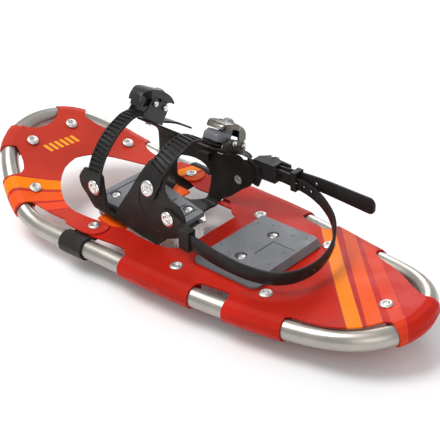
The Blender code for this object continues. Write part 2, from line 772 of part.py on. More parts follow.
# ---- toe plate, harness and its straps ---------------------------------------------------
def build_toe_plate(build):
    centre = BINDING_CENTRE_X
    outline = [(centre - 24, 16), (centre + 24, 16), (centre + 30, 60), (centre + 34, 100)]
    outline += [(centre + 34, 112), (centre + 30, 117), (centre - 30, 117), (centre - 34, 112)]
    outline += [(centre - 34, 100), (centre - 30, 60)]
    body = prism(outline, PLATE_LEVEL, PLATE_LEVEL + PLATE_THICK)
    top = PLATE_LEVEL + PLATE_THICK
    cutters = [box((centre - 32, 108.5, top - 1.0), (centre + 32, 110.0, top + 1))]
    for y in (24, 38, 52):
        cutters.append(box((centre - 22, y, top - 1.0), (centre + 22, y + 1.6, top + 1)))
    body = cut_all(body, cutters)
    body = cut_all(body, bolt_holes(PLATE_LEVEL - 3, top + 3, 2.4))
    body = cut_all(body, bolt_holes(top - SINK, top + 3, SINK_RADIUS))
    pitched(body)
    build.add("toe_plate", body, "plate", origin=BINDING_ORIGIN)


def build_binding_bolts(build):
    names = ("binding_bolt_front_left", "binding_bolt_front_right", "binding_bolt_rear_left",
             "binding_bolt_rear_right")
    level = PLATE_LEVEL + PLATE_THICK - SINK
    for name, (x, y) in zip(names, BINDING_BOLTS):
        body = screw_body(level - CRAMPON_LEVEL + 0.3, 5.4, 4.0)
        moved(body, Matrix.Translation((x, y, level)))
        pitched(body)
        build.add(name, body, "rivet", origin=BINDING_ORIGIN)


BINDING_ORIGIN = (0, PIVOT_Y, PIVOT_Z)
FOLD = 9.0                   # bend radius where the harness sheet turns up
LEFT_WALL_X = -48.5
RIGHT_WALL_X = 49.5
FLAT_START = 12.0            # half width where the harness sheet starts, under the toe plate
WING_LEAN_FROM = 57.0        # height at which the left wing starts to follow the foot
EAR_LEAN_FROM = 46.0         # and the same for the ear in front of it
EAR_START = 70.0             # the ear is the part of the left wall ahead of this Y
LEFT_LEAN_RADIUS = 42.0
RIGHT_LEAN_RADIUS = 14.0

BUCKLE_SCALE = 0.9
# Each ratchet buckle: middle of its base, degrees it tips outward and scale of its width.  The
# rest is in its own frame before scaling: places along the base, the height of its two pins,
# the arc of its lever, and the outline of its pawl with the height of the button on top.
BUCKLES = {
    "toe": {
        "centre": Vector((11.0, 90.0, 104.9)), "tilt": 37.0, "wide": 0.92, "rivet": 22.0,
        "base_start": -0.5, "cheek_start": -3.0, "pins": 17.0, "button": 20.0, "dome": (23.0, 34.2),
        "arc": ((-26.0, 17.5), (-23.0, 24.5), (-14.0, 29.8), (-2.0, 32.0), (12.0, 32.4), (26.0, 31.0),
                (37.0, 28.0)),
        "lug": ((28.5, 30.0), (14.0, 31.6)),
        "pawl": ((-11.0, 7.0), (-13.0, 13.0), (-8.0, 19.5), (4.0, 22.5), (14.0, 25.5), (26.0, 25.5),
                 (27.0, 22.2), (12.0, 21.4)),
        "pawl_turn": (40, -110), "narrowing": 0.0,
    },
    "instep": {
        "centre": Vector((28.5, -2.0, 88.4)), "tilt": 30.0, "wide": 1.09, "rivet": 12.0,
        "base_start": -19.0, "cheek_start": -10.0, "pins": 8.0, "button": 8.0, "dome": (9.0, 29.0),
        "arc": ((-27.0, 20.0), (-22.0, 24.0), (-8.0, 26.5), (6.0, 26.5), (17.0, 24.3), (24.0, 20.0),
                (28.0, 14.0)),
        "lug": ((28.0, 13.4), (24.6, 18.8), (18.6, 22.8), (14.0, 24.0)),
        "pawl": ((-25.0, 5.4), (-24.0, 10.5), (-18.0, 13.6), (2.0, 13.6)),
        "pawl_turn": (90, -40), "narrowing": 4.4,
    },
}
TURN_BLEND = (20.0, 75.0)    # the right wall changes from the instep turn to the toe turn here
BASE_LOW = -2.4              # buckle tables below are before BUCKLE_SCALE
BASE_TOP = -0.6
TAB_DEPTH = -BASE_LOW * BUCKLE_SCALE + GAP + HARNESS_THICK / 2


def layer_height(y):
    return pitch_height(y, HARNESS_LEVEL + HARNESS_THICK / 2)


def left_lean_from(y):
    return EAR_LEAN_FROM if y > EAR_START else WING_LEAN_FROM


def left_wall_rule(point):
    """Fold the flat left sheet: X is distance along the sheet, Y along the foot, Z across it."""
    run, y, off = point
    base = layer_height(y)
    flat = -LEFT_WALL_X - FOLD
    if run < flat:
        return Vector((-run, y, base - off))
    angle = (run - flat) / FOLD
    if angle < math.pi / 2:
        reach = FOLD + off
        return Vector((-flat - reach * math.sin(angle), y, base + FOLD - reach * math.cos(angle)))
    height = base + FOLD + (run - flat - FOLD * math.pi / 2)
    start = left_lean_from(y)
    if height < start:
        return Vector((LEFT_WALL_X - off, y, height))
    lean = (height - start) / LEFT_LEAN_RADIUS
    reach = LEFT_LEAN_RADIUS + off
    return Vector((LEFT_WALL_X + LEFT_LEAN_RADIUS - reach * math.cos(lean), y,
                   start + reach * math.sin(lean)))


def on_left_wall(y, height, off):
    """Point at a set distance outside the left wall, and the way the wall faces there."""
    point = left_wall_rule(Vector((sheet_run(LEFT_WALL_X, y, height), y, off)))
    lean = max(height - left_lean_from(y), 0.0) / LEFT_LEAN_RADIUS
    return point, Vector((-math.cos(lean), 0, math.sin(lean)))


def right_lean(y):
    """Height where the right wall starts to turn in, and how far it turns, at a given Y."""
    share = min(max((y - TURN_BLEND[0]) / (TURN_BLEND[1] - TURN_BLEND[0]), 0.0), 1.0)
    start = RIGHT_TURN_START["instep"] * (1 - share) + RIGHT_TURN_START["toe"] * share
    tilt = BUCKLES["instep"]["tilt"] * (1 - share) + BUCKLES["toe"]["tilt"] * share
    return start, math.radians(90 - tilt)


def turn_start(kind):
    """Height at which the wall must turn so that its tab lies flat under a buckle."""
    spec = BUCKLES[kind]
    tilt = math.radians(spec["tilt"])
    lean = math.pi / 2 - tilt
    x = spec["centre"].x - TAB_DEPTH * math.sin(tilt)
    z = spec["centre"].z - TAB_DEPTH * math.cos(tilt)
    turned_x = RIGHT_WALL_X - RIGHT_LEAN_RADIUS * (1 - math.cos(lean))
    turned_z = z - (turned_x - x) * math.tan(tilt)
    return turned_z - RIGHT_LEAN_RADIUS * math.sin(lean)


RIGHT_TURN_START = {kind: turn_start(kind) for kind in BUCKLES}


def tab_height(kind, world_x):
    """Height along the flat right sheet of the point of a tab that ends up at a given X."""
    spec = BUCKLES[kind]
    start, lean = right_lean(spec["centre"].y)
    turned_x = RIGHT_WALL_X - RIGHT_LEAN_RADIUS * (1 - math.cos(lean))
    return start + RIGHT_LEAN_RADIUS * lean + (turned_x - world_x) / math.sin(lean)


def right_wall_rule(point):
    """Fold the flat right sheet; its top turns in over the foot to carry the buckles."""
    run, y, off = point
    base = layer_height(y)
    flat = RIGHT_WALL_X - FOLD
    if run < flat:
        return Vector((run, y, base - off))
    angle = (run - flat) / FOLD
    if angle < math.pi / 2:
        reach = FOLD + off
        return Vector((flat + reach * math.sin(angle), y, base + FOLD - reach * math.cos(angle)))
    height = base + FOLD + (run - flat - FOLD * math.pi / 2)
    start, limit = right_lean(y)
    if height < start:
        return Vector((RIGHT_WALL_X + off, y, height))
    lean = min((height - start) / RIGHT_LEAN_RADIUS, limit)
    rest = height - start - RIGHT_LEAN_RADIUS * lean
    reach = RIGHT_LEAN_RADIUS + off
    x = RIGHT_WALL_X - RIGHT_LEAN_RADIUS + reach * math.cos(lean) - rest * math.sin(lean)
    z = start + reach * math.sin(lean) + rest * math.cos(lean)
    return Vector((x, y, z))


def sheet_run(wall_x, y, height):
    """Distance along the folded sheet at which the wall reaches a height."""
    flat = abs(wall_x) - FOLD
    return flat + FOLD * math.pi / 2 + height - layer_height(y) - FOLD


def wall_outline(wall_x, points):
    return [(sheet_run(wall_x, y, height), y) for y, height in points]


def fold_cuts(wall_x):
    flat = abs(wall_x) - FOLD
    return [flat + FOLD * math.pi / 2 * step / 4 for step in range(5)]


HEEL_AXIS = (0.0, -11.5, 46.0)
LEFT_RIVETS = {"toe": (95.0, 45.0), "instep": (15.0, 69.0), "heel": HEEL_AXIS[1:]}


def wall_holes(wall_x, spots):
    holes = []
    for y, height in spots:
        run = sheet_run(wall_x, y, height)
        holes.append(cylinder((run, y, 0), (0, 0, 1), 2.6, 12, 8))
    return holes


def sheet_bolt_holes(side):
    """Bolt holes through the flat part of one harness sheet, in sheet coordinates."""
    return [cylinder((side * x, y, 0), (0, 0, 1), 2.6, 12, 8) for x, y in BINDING_BOLTS if side * x > 0]


def build_left_harness(build):
    wall = LEFT_WALL_X
    ear = curve_through([(104.0, 20.0), (112.0, 31.0), (119.0, 38.0), (120.5, 49.0), (113.0, 60.5)])
    ear += curve_through([(94.0, 63.0), (85.0, 58.0), (83.0, 46.0), (82.0, 30.0)])
    ear += curve_through([(79.0, 21.0), (74.0, 18.5), (70.5, 21.0)])
    wing = curve_through([(63.0, 32.0), (52.0, 47.0), (40.0, 62.0), (30.5, 80.0), (26.5, 93.0)])
    wing += [(23.5, 96.0), (1.0, 96.0)]
    wing += curve_through([(-2.5, 92.0), (-2.0, 82.0), (-4.5, 71.0), (-14.0, 65.5), (-24.0, 62.5),
                           (-30.5, 54.0), (-31.0, 44.0), (-26.0, 33.0), (-18.0, 26.0), (-6.0, 21.0),
                           (6.0, 13.5)])
    outline = [(FLAT_START, 108.0), (-wall - FOLD, 108.0)]
    outline += wall_outline(wall, ear) + wall_outline(wall, wing)
    outline += [(-wall - FOLD, 17.0), (FLAT_START, 17.0)]
    body = prism(outline, -HARNESS_THICK / 2, HARNESS_THICK / 2)
    body = cut_all(body, wall_holes(wall, LEFT_RIVETS.values()) + sheet_bolt_holes(-1))
    top_run = sheet_run(wall, 20.0, WING_LEAN_FROM)
    slice_body(body, 0, fold_cuts(wall) + [top_run + 7 * step for step in range(-2, 6)])
    mapped(body, left_wall_rule)
    build.add("harness_left", body, "black", origin=BINDING_ORIGIN, sharp=50)


def build_right_harness(build):
    wall = RIGHT_WALL_X
    toe_tab = tab_height("toe", 18.5)
    instep_tab = tab_height("instep", 29.0)
    front = curve_through([(109.0, 20.0), (106.5, 32.0), (104.0, 50.0), (103.0, 66.0)])
    toe_top = [(102.3, 80.0), (102.0, 90.0), (102.0, toe_tab - 2), (99.5, toe_tab), (80.5, toe_tab),
               (78.0, toe_tab - 2), (78.0, 90.0)]
    rail = curve_through([(75.0, 82.0), (64.0, 76.0), (48.0, 72.5), (30.0, 70.0)])
    instep_top = [(18.0, 72.0), (12.8, 77.0), (12.3, instep_tab - 2), (10.0, instep_tab),
                  (-14.0, instep_tab), (-16.3, instep_tab - 2), (-16.5, 76.0)]
    rear = curve_through([(-18.0, 69.0), (-25.0, 66.0), (-30.0, 60.0), (-30.5, 51.0), (-25.0, 42.0),
                          (-16.0, 36.0), (-6.0, 28.0), (2.0, 21.5), (10.0, 17.0), (17.0, 12.0)])
    outline = [(FLAT_START, 108.0), (wall - FOLD, 108.0)]
    outline += wall_outline(wall, front + toe_top + rail + instep_top + rear)
    outline += [(wall - FOLD, 24.0), (FLAT_START, 24.0)]
    body = prism(outline, -HARNESS_THICK / 2, HARNESS_THICK / 2)
    window = curve_through([(48.0, -4.0), (62.0, -4.0), (73.0, -2.0), (80.0, 8.0), (81.0, 24.0),
                            (80.0, 37.0), (75.0, 46.0), (62.0, 50.0), (48.0, 51.0), (36.0, 48.0),
                            (28.5, 40.0), (29.5, 28.0), (36.0, 8.0)])
    holes = [prism(wall_outline(wall, window), -6, 6)]
    holes += wall_holes(wall, [HEEL_AXIS[1:]])
    for kind, spec in BUCKLES.items():
        foot = buckle_matrix(kind) @ Vector((spec["rivet"], 0, -TAB_DEPTH / BUCKLE_SCALE))
        height = tab_height(kind, foot.x)
        holes.append(cylinder((sheet_run(wall, foot.y, height), foot.y, 0), (0, 0, 1), 2.4, 12, 8))
    body = cut_all(body, holes + sheet_bolt_holes(1))
    cuts = fold_cuts(wall)
    for y in (0.0, 90.0):
        start, lean = right_lean(y)
        cuts += [sheet_run(wall, y, start) + RIGHT_LEAN_RADIUS * lean * step / 4 for step in range(5)]
    slice_body(body, 0, sorted(cuts))
    mapped(body, right_wall_rule)
    build.add("harness_right", body, "black", origin=BINDING_ORIGIN, sharp=50)


def ribbon(path, acrosses, widths, thickness):
    """Flat strap: a path, the direction its width runs at each point, its widths and thickness."""
    rings = []
    for index, point in enumerate(path):
        before = path[max(index - 1, 0)]
        after = path[min(index + 1, len(path) - 1)]
        run = (after - before).normalized()
        across = (acrosses[index] - run * acrosses[index].dot(run)).normalized()
        out = run.cross(across)
        half = widths[index] / 2
        deep = thickness / 2
        rings.append([point + across * half + out * deep, point - across * half + out * deep,
                      point - across * half - out * deep, point + across * half - out * deep])
    return loft(rings)


def smooth_path(points, steps):
    guide = [Vector(point) for point in points]
    guide = [2 * guide[0] - guide[1]] + guide + [2 * guide[-1] - guide[-2]]
    out = []
    for index in range(1, len(guide) - 2):
        a, b, c, d = guide[index - 1:index + 3]
        for step in range(steps):
            t = step / steps
            out.append(0.5 * (2 * b + (c - a) * t + (2 * a - 5 * b + 4 * c - d) * t * t
                              + (3 * b - a - 3 * c + d) * t ** 3))
    out.append(guide[-2])
    return out


LADDER_THICK = 2.0
LADDER_LEVEL = 1.9           # middle of the ladder above the buckle origin, before scaling
TOOTH_PITCH = 4.8
TOOTH_RISE = 1.0
LADDERS = {
    "toe": {
        "wide": 19.8,
        "wall": ((95, 36), (95, 45), (95, 50), (95, 56), (95, 61)),
        "free": ((-42.5, 95, 72.5), (-37.0, 93.3, 82.0), (-30.0, 91.8, 90.8), (-21.5, 90.8, 98.2),
                 (-11.5, 90.2, 103.6), (-1.0, 90, 107.0)),
        "inside": (0.5, 12.0, 24.0, 33.0),
        "end": ((56.0, 90, 79.0), (82.0, 90, 61.5)),
        "teeth": (30.0, 104.0),
    },
    "instep": {
        "wide": 23.6,
        "wall": ((15, 59.5), (15, 64.5), (15, 69), (14, 75), (12.5, 81), (10.5, 87)),
        "free": ((-34.5, 6.8, 94.2), (-27.0, 4.2, 101.0), (-17.5, 1.8, 107.0), (-8.0, 0.2, 109.5),
                 (2.0, -1.0, 107.0)),
        "inside": (-19.0, -6.0, 10.0, 33.0),
        "end": ((66.0, -2, 66.5), (74.0, -2, 57.0)),
        "teeth": (34.0, 92.0),
    },
}


def ladder_path(kind):
    spec = LADDERS[kind]
    inside = [buckle_matrix(kind) @ Vector((x, 0, LADDER_LEVEL)) for x in spec["inside"]]
    lift = HARNESS_THICK / 2 + GAP + LADDER_THICK / 2
    wall = [on_left_wall(y, height, lift)[0] for y, height in spec["wall"]]
    free = [Vector(point) for point in spec["free"]]
    return wall + free + inside + [Vector(point) for point in spec["end"]]


def build_ladder(build, kind):
    """Ratchet strap: a bent band whose outer face carries a row of cross teeth."""
    spec = LADDERS[kind]
    path = smooth_path(ladder_path(kind), 2)
    count = len(path)
    across = Vector((0, 1, 0))
    widths = [spec["wide"]] * count
    widths[0] = spec["wide"] * 0.66
    widths[-1] = spec["wide"] * 0.6
    body = ribbon(path, [across] * count, widths, LADDER_THICK)
    lengths = [0.0]
    for before, after in zip(path, path[1:]):
        lengths.append(lengths[-1] + (after - before).length)
    reach, teeth_end = spec["teeth"]
    low = LADDER_THICK / 2 - 0.4
    high = LADDER_THICK / 2 + TOOTH_RISE
    while reach < teeth_end:
        index = max(place for place, total in enumerate(lengths) if total <= reach)
        share = (reach - lengths[index]) / (lengths[index + 1] - lengths[index])
        spot = path[index].lerp(path[index + 1], share)
        run = (path[index + 1] - path[index]).normalized()
        side = (across - run * across.dot(run)).normalized()
        out = run.cross(side)
        if out.z < 0:
            out = -out
        half = spec["wide"] / 2 - 1.8
        profile = ((-1.1, low), (1.1, low), (0.3, high), (-1.1, high))
        rings = []
        for end in (-half, half):
            rings.append([spot + side * end + run * along + out * rise for along, rise in profile])
        body = combine(body, loft(rings), "UNION")
        reach += TOOTH_PITCH
    spot, facing = on_left_wall(*LEFT_RIVETS[kind], 2.0)
    body = combine(body, cylinder(spot, facing, 2.6, 12, 8), "DIFFERENCE")
    build.add(kind + "_ladder_strap", body, "black", origin=BINDING_ORIGIN, sharp=30)


# ---- ratchet buckles ---------------------------------------------------------------------
PAWL_PIN_X = 7.0
LEVER_PIN_X = 24.0
PIN_RADIUS = 1.5
PIN_HOLE = 2.0
CHEEK_IN = 11.4
CHEEK_OUT = 13.2


def buckle_matrix(kind):
    """Local X runs down the outer side of the foot, local Z out of the strap."""
    spec = BUCKLES[kind]
    turn = Matrix.Rotation(math.radians(spec["tilt"]), 4, "Y")
    scale = Matrix.Diagonal((BUCKLE_SCALE, spec["wide"], BUCKLE_SCALE, 1))
    return Matrix.Translation(spec["centre"]) @ turn @ scale


def side_profile(outline, low, high):
    """Extrude an (x, z) outline across the buckle."""
    body = prism(outline, low, high)
    return mapped(body, lambda p: Vector((p.x, p.z, p.y)))


def arc_points(centre, radius, start, end, steps):
    out = []
    for step in range(steps + 1):
        angle = math.radians(start + (end - start) * step / steps)
        out.append((centre[0] + radius * math.cos(angle), centre[1] + radius * math.sin(angle)))
    return out


def buckle_origin(kind, x, z):
    return buckle_matrix(kind) @ Vector((x, 0, z))


def pin_holes(kind):
    level = BUCKLES[kind]["pins"]
    return [cylinder((x, 0, level), (0, 1, 0), PIN_HOLE, 40, 8) for x in (PAWL_PIN_X, LEVER_PIN_X)]


def build_buckle_base(build, kind):
    spec = BUCKLES[kind]
    lift = spec["pins"] - 8.0
    start = spec["cheek_start"]
    bodies = [box((spec["base_start"], -CHEEK_OUT, BASE_LOW), (31, CHEEK_OUT, BASE_TOP))]
    cheek = [(start, -2.0), (30.8, -2.0)] + arc_points((25.0, 6.5 + lift), 5.8, 0, 90, 3)
    cheek += [(7.0, 12.3 + lift), (1.0, 11.5 + lift), (start + 2.0, 4.0 + lift * 0.5)]
    for side in (-1, 1):
        low, high = sorted((side * CHEEK_IN, side * CHEEK_OUT))
        bodies.append(side_profile(cheek, low, high))
    body = join_all(bodies)
    body = cut_all(body, pin_holes(kind) + [cylinder((spec["rivet"], 0, -1.5), (0, 0, 1), 2.9, 8, 8)])
    moved(body, buckle_matrix(kind))
    build.add(kind + "_buckle_base", body, "lever", origin=spec["centre"])


def build_buckle_lever(build, kind):
    spec = BUCKLES[kind]
    path = smooth_path([(x, 0, z) for x, z in spec["arc"]], 2)
    widths = []
    for point in path:
        share = min(max((point.x - path[0].x) / 8.0, 0.0), 1.0)
        taper = min(max((point.x - 10.0) / 7.0, 0.0), 1.0)
        widths.append(19.0 + 7.0 * math.sin(share * math.pi / 2) - spec["narrowing"] * taper)
    body = ribbon(path, [Vector((0, 1, 0))] * len(path), widths, 2.2)
    middle = spec["button"]
    window = rounded_rectangle((middle - 10.0, -8.2), (middle + 10.0, 8.2), 6.0, 2)
    bodies = [combine(body, prism(window, 12.0, 40.0), "DIFFERENCE")]
    lug = arc_points((LEVER_PIN_X, spec["pins"]), 4.2, -150, 20, 4) + list(spec["lug"])
    for side in (-1, 1):
        low, high = sorted((side * 9.3, side * 11.0))
        bodies.append(side_profile(lug, low, high))
    body = join_all(bodies)
    body = cut_all(body, pin_holes(kind)[1:])
    moved(body, buckle_matrix(kind))
    build.add(kind + "_buckle_lever", body, "lever", origin=buckle_origin(kind, LEVER_PIN_X, spec["pins"]))


def build_buckle_release(build, kind):
    spec = BUCKLES[kind]
    outline = list(spec["pawl"]) + arc_points((PAWL_PIN_X, spec["pins"]), 4.0, *spec["pawl_turn"], 4)
    if kind == "instep":
        outline.append((6.0, 5.4))
    body = side_profile(outline, -8.8, 8.8)
    foot, top = spec["dome"]
    dome = [(0, foot), (7.0, foot), (7.0, top - 6.2), (6.3, top - 3.3), (4.0, top - 1.0), (0, top)]
    button = lathe(dome, 12)
    moved(button, Matrix.Translation((spec["button"], 0, 0)))
    body = combine(body, button, "UNION")
    body = cut_all(body, pin_holes(kind)[:1])
    moved(body, buckle_matrix(kind))
    build.add(kind + "_buckle_release", body, "button", origin=buckle_origin(kind, PAWL_PIN_X, spec["pins"]))


def build_buckle_pins(build, kind):
    profile = ((0, -16.0), (3.3, -15.6), (3.3, -13.7), (PIN_RADIUS, -13.7), (PIN_RADIUS, 13.7),
               (3.3, 13.7), (3.3, 15.6), (0, 16.0))
    level = BUCKLES[kind]["pins"]
    for label, x in (("release_pin", PAWL_PIN_X), ("lever_pin", LEVER_PIN_X)):
        body = lathe(profile, 10)
        moved(body, Matrix.Rotation(math.pi / 2, 4, "X"))
        moved(body, Matrix.Translation((x, 0, level)))
        moved(body, buckle_matrix(kind))
        build.add(kind + "_buckle_" + label, body, "rivet", origin=buckle_origin(kind, x, level))


def build_buckle_rivet(build, kind):
    """Short rivet, flush in the buckle base, through the harness tab below it."""
    profile = ((0, -7.4), (3.9, -7.4), (3.9, -6.4), (2.3, -6.4), (2.3, -0.7), (0, -0.7))
    body = lathe(profile, 10)
    moved(body, Matrix.Scale(BUCKLE_SCALE, 4))
    turn = Matrix.Rotation(math.radians(BUCKLES[kind]["tilt"]), 4, "Y")
    moved(body, Matrix.Translation(buckle_origin(kind, BUCKLES[kind]["rivet"], 0)) @ turn)
    build.add(kind + "_buckle_rivet", body, "rivet", origin=BUCKLES[kind]["centre"])


def build_buckle(build, kind):
    build_buckle_base(build, kind)
    build_buckle_lever(build, kind)
    build_buckle_release(build, kind)
    build_buckle_pins(build, kind)
    build_buckle_rivet(build, kind)


def build_wall_rivet(build, name, spot, facing, stack, origin):
    """Large flanged rivet through a harness wall and the strap or bracket on its outside."""
    tail = -stack - 0.4
    profile = ((0, tail - 1.2), (5.0, tail - 1.2), (5.0, tail), (2.2, tail), (2.2, 0.3), (7.2, 0.3),
               (6.4, 1.7), (3.8, 2.0), (2.8, 1.2), (0, 1.0))
    body = lathe(profile, 12)
    turn = Vector((0, 0, 1)).rotation_difference(Vector(facing)).to_matrix().to_4x4()
    moved(body, Matrix.Translation(Vector(spot)) @ turn)
    build.add(name, body, "rivet", origin=origin)


def build_wall_rivets(build):
    stack = HARNESS_THICK + LADDER_THICK + 2 * GAP
    for kind in LADDERS:
        spot, facing = on_left_wall(*LEFT_RIVETS[kind], HARNESS_THICK / 2 + GAP + LADDER_THICK)
        build_wall_rivet(build, kind + "_ladder_rivet", spot, facing, stack, BINDING_ORIGIN)
    y, height = LEFT_RIVETS["heel"]
    face = LEFT_WALL_X - HARNESS_THICK / 2 - GAP - BRACKET_THICK
    stack = HARNESS_THICK + BRACKET_THICK + 2 * GAP
    build_wall_rivet(build, "heel_bracket_rivet_left", (face, y, height), (-1, 0, 0), stack, HEEL_AXIS)
    face = RIGHT_WALL_X + HARNESS_THICK / 2 + GAP + BRACKET_THICK
    build_wall_rivet(build, "heel_bracket_rivet_right", (face, y, height), (1, 0, 0), stack, HEEL_AXIS)


# ---- heel strap --------------------------------------------------------------------------
HEEL_THICK = 2.4
BRACKET_THICK = 2.4
BUCKLE_BAR = (60.2, -31.0)   # the bar the heel strap turns round, in X and Y
STRAP_HALF_TURN = 3.2
HEEL_PATH = (
    (-55.5, -34.0, 37.0), (-55.8, -44.0, 36.0), (-56.5, -60.0, 34.0), (-56.5, -81.0, 31.0),
    (-53.5, -109.0, 28.0), (-47.0, -132.0, 27.0), (-34.0, -147.0, 27.0), (-16.0, -154.5, 28.5),
    (4.0, -155.0, 31.0), (26.0, -148.0, 36.0), (45.0, -132.5, 43.0), (56.0, -112.0, 50.0),
    (59.0, -93.0, 56.0), (57.6, -76.0, 60.0), (57.0, -62.0, 61.5), (57.0, -46.0, 61.5), (57.0, -31.0, 61.5),
)
TAIL_PATH = ((63.4, -46.0, 61.5), (63.6, -62.0, 61.8), (64.2, -80.0, 62.2), (64.2, -105.0, 62.5),
             (62.5, -135.0, 62.3), (61.0, -160.0, 62.0), (60.5, -168.0, 62.0))
HEEL_HOLES = (0.31, 0.345, 0.38, 0.415, 0.45, 0.60, 0.63, 0.66, 0.70)


def build_heel_strap(build):
    """Strap from the left bracket round the heel, through the right buckle and back as a free tail."""
    path = smooth_path(HEEL_PATH, 2)
    for step in range(1, 6):
        angle = math.pi * step / 6
        path.append(Vector((BUCKLE_BAR[0] - STRAP_HALF_TURN * math.cos(angle),
                            BUCKLE_BAR[1] + STRAP_HALF_TURN * math.sin(angle), HEEL_PATH[-1][2])))
    path.append(Vector((BUCKLE_BAR[0] + STRAP_HALF_TURN, BUCKLE_BAR[1], HEEL_PATH[-1][2])))
    path += smooth_path(TAIL_PATH, 1)
    lengths = [0.0]
    for before, after in zip(path, path[1:]):
        lengths.append(lengths[-1] + (after - before).length)
    total = lengths[-1]
    widths = []
    acrosses = []
    for point, length in zip(path, lengths):
        share = length / total
        if share < 0.07:
            widths.append(16.6)
        elif share < 0.26:
            widths.append(15.5)
        elif share < 0.72:
            widths.append(12.4)
        else:
            widths.append(12.4 + 4.6 * (share - 0.72) / 0.28)
        tip = 0.18 if point.y < -120 and point.z < 50 else 0.0
        acrosses.append(Vector((-tip * 0.3, -tip, 1.0)))
    widths[-1] = 12.0
    body = ribbon(path, acrosses, widths, HEEL_THICK)
    holes = []
    for share in HEEL_HOLES:
        index = min(place for place, length in enumerate(lengths) if length > share * total)
        before, after = path[index - 1], path[index]
        spot = before.lerp(after, 0.5)
        face = (after - before).cross(Vector((0, 0, 1))).normalized()
        holes.append(cylinder(spot, face, 1.7, 7, 6))
    holes.append(cylinder((64.2, -98.0, 62.4), (1, 0, 0), 1.9, 7, 8))
    body = cut_all(body, holes)
    build.add("heel_strap", body, "black", origin=HEEL_AXIS, sharp=40)


def build_left_bracket(build):
    """Plate on the left wing rivet with a sleeve that holds the heel strap."""
    x_in = LEFT_WALL_X - HARNESS_THICK / 2 - GAP
    plate = [(-1.5, 46.0), (-4.0, 37.5), (-12.0, 34.0), (-24.0, 30.0), (-33.0, 27.0), (-34.5, 47.5),
             (-14.0, 56.5), (-5.0, 54.0)]
    bodies = [upright_plate(plate, 0, x_in - BRACKET_THICK, x_in)]
    sleeve = [(-31.0, 26.4), (-44.0, 24.8), (-46.0, 46.6), (-33.5, 48.0)]
    bodies.append(upright_plate(sleeve, 0, x_in - 9.2, x_in + 0.1))
    body = join_all(bodies)
    pocket = [(-32.5, 28.0), (-52.0, 26.2), (-54.0, 44.6), (-33.8, 46.4)]
    body = combine(body, upright_plate(pocket, 0, x_in - 7.6, x_in - 3.4), "DIFFERENCE")
    body = combine(body, cylinder((x_in, *HEEL_AXIS[1:]), (1, 0, 0), 2.6, 20, 8), "DIFFERENCE")
    build.add("heel_bracket_left", body, "black", origin=HEEL_AXIS)


BUCKLE_BODY_X = (53.9, 55.3)
HEEL_BUCKLE_Z = (53.2, 69.8)
HEEL_LEVER_PIN = (68.6, -40.0)


def build_right_bracket(build):
    x_in = RIGHT_WALL_X + HARNESS_THICK / 2 + GAP
    plate = [(-2.0, 46.0), (-4.0, 55.0), (-8.0, 62.0), (-16.0, 67.5), (-26.0, 69.5), (-36.0, 66.0),
             (-38.0, 52.0), (-34.0, 43.0), (-24.0, 45.0), (-14.0, 37.0), (-5.0, 39.0)]
    body = upright_plate(plate, 0, x_in, x_in + BRACKET_THICK)
    body = combine(body, cylinder((x_in, *HEEL_AXIS[1:]), (1, 0, 0), 2.6, 20, 8), "DIFFERENCE")
    for y, height in HEEL_BUCKLE_RIVETS:
        body = combine(body, cylinder((x_in, y, height), (1, 0, 0), 1.4, 20, 6), "DIFFERENCE")
    build.add("heel_bracket_right", body, "black", origin=HEEL_AXIS)


HEEL_BUCKLE_RIVETS = ((-24.0, 65.5), (-24.0, 57.5))


def build_heel_buckle(build):
    """Channel riveted to the right bracket, its strap bar, and the cam lever over the tail."""
    low_z, high_z = HEEL_BUCKLE_Z
    floor_in, floor_out = BUCKLE_BODY_X
    bodies = [box((floor_in, -56.0, low_z), (floor_out, -19.0, high_z))]
    cheek = ((floor_in, -27.0), (floor_in, -54.0), (64.0, -54.0), (71.0, -46.0), (71.0, -36.0), (63.0, -27.0))
    bodies.append(prism(cheek, low_z - 1.4, low_z + 0.1))
    bodies.append(prism(cheek, high_z - 0.1, high_z + 1.4))
    bodies.append(cylinder((*BUCKLE_BAR, (low_z + high_z) / 2), (0, 0, 1), 1.3, high_z - low_z + 1.6, 8))
    body = join_all(bodies)
    holes = [cylinder((*HEEL_LEVER_PIN, 60), (0, 0, 1), 1.3, 40, 8)]
    holes += [cylinder((floor_in, y, height), (1, 0, 0), 1.4, 20, 6) for y, height in HEEL_BUCKLE_RIVETS]
    body = cut_all(body, holes)
    build.add("heel_buckle_body", body, "lever", origin=HEEL_AXIS)
    pin = lathe(((0, low_z - 2.6), (2.0, low_z - 2.3), (2.0, low_z - 1.7), (1.0, low_z - 1.7),
                 (1.0, high_z + 1.7), (2.0, high_z + 1.7), (2.0, high_z + 2.3), (0, high_z + 2.6)), 8)
    moved(pin, Matrix.Translation((*HEEL_LEVER_PIN, 0)))
    build.add("heel_buckle_pin", pin, "rivet", origin=HEEL_AXIS)
    lever = ((70.4, -36.8), (71.2, -42.0), (70.6, -52.0), (69.4, -63.0), (67.9, -62.8), (67.6, -52.0),
             (66.0, -44.0), (65.3, -40.0), (66.6, -37.2))
    body = prism(lever, low_z + 0.4, high_z - 0.4)
    body = combine(body, cylinder((*HEEL_LEVER_PIN, 60), (0, 0, 1), 1.3, 40, 8), "DIFFERENCE")
    build.add("heel_buckle_lever", body, "lever", origin=(*HEEL_LEVER_PIN, (low_z + high_z) / 2))
    profile = ((0, -3.6), (1.1, -3.6), (1.1, 0.3), (2.2, 0.3), (1.6, 1.0), (0, 1.2))
    for name, (y, height) in zip(("heel_buckle_rivet_upper", "heel_buckle_rivet_lower"), HEEL_BUCKLE_RIVETS):
        body = lathe(profile, 8)
        turn = Matrix.Rotation(math.pi / 2, 4, "Y")
        moved(body, Matrix.Translation((floor_out, y, height)) @ turn)
        build.add(name, body, "rivet", origin=HEEL_AXIS)


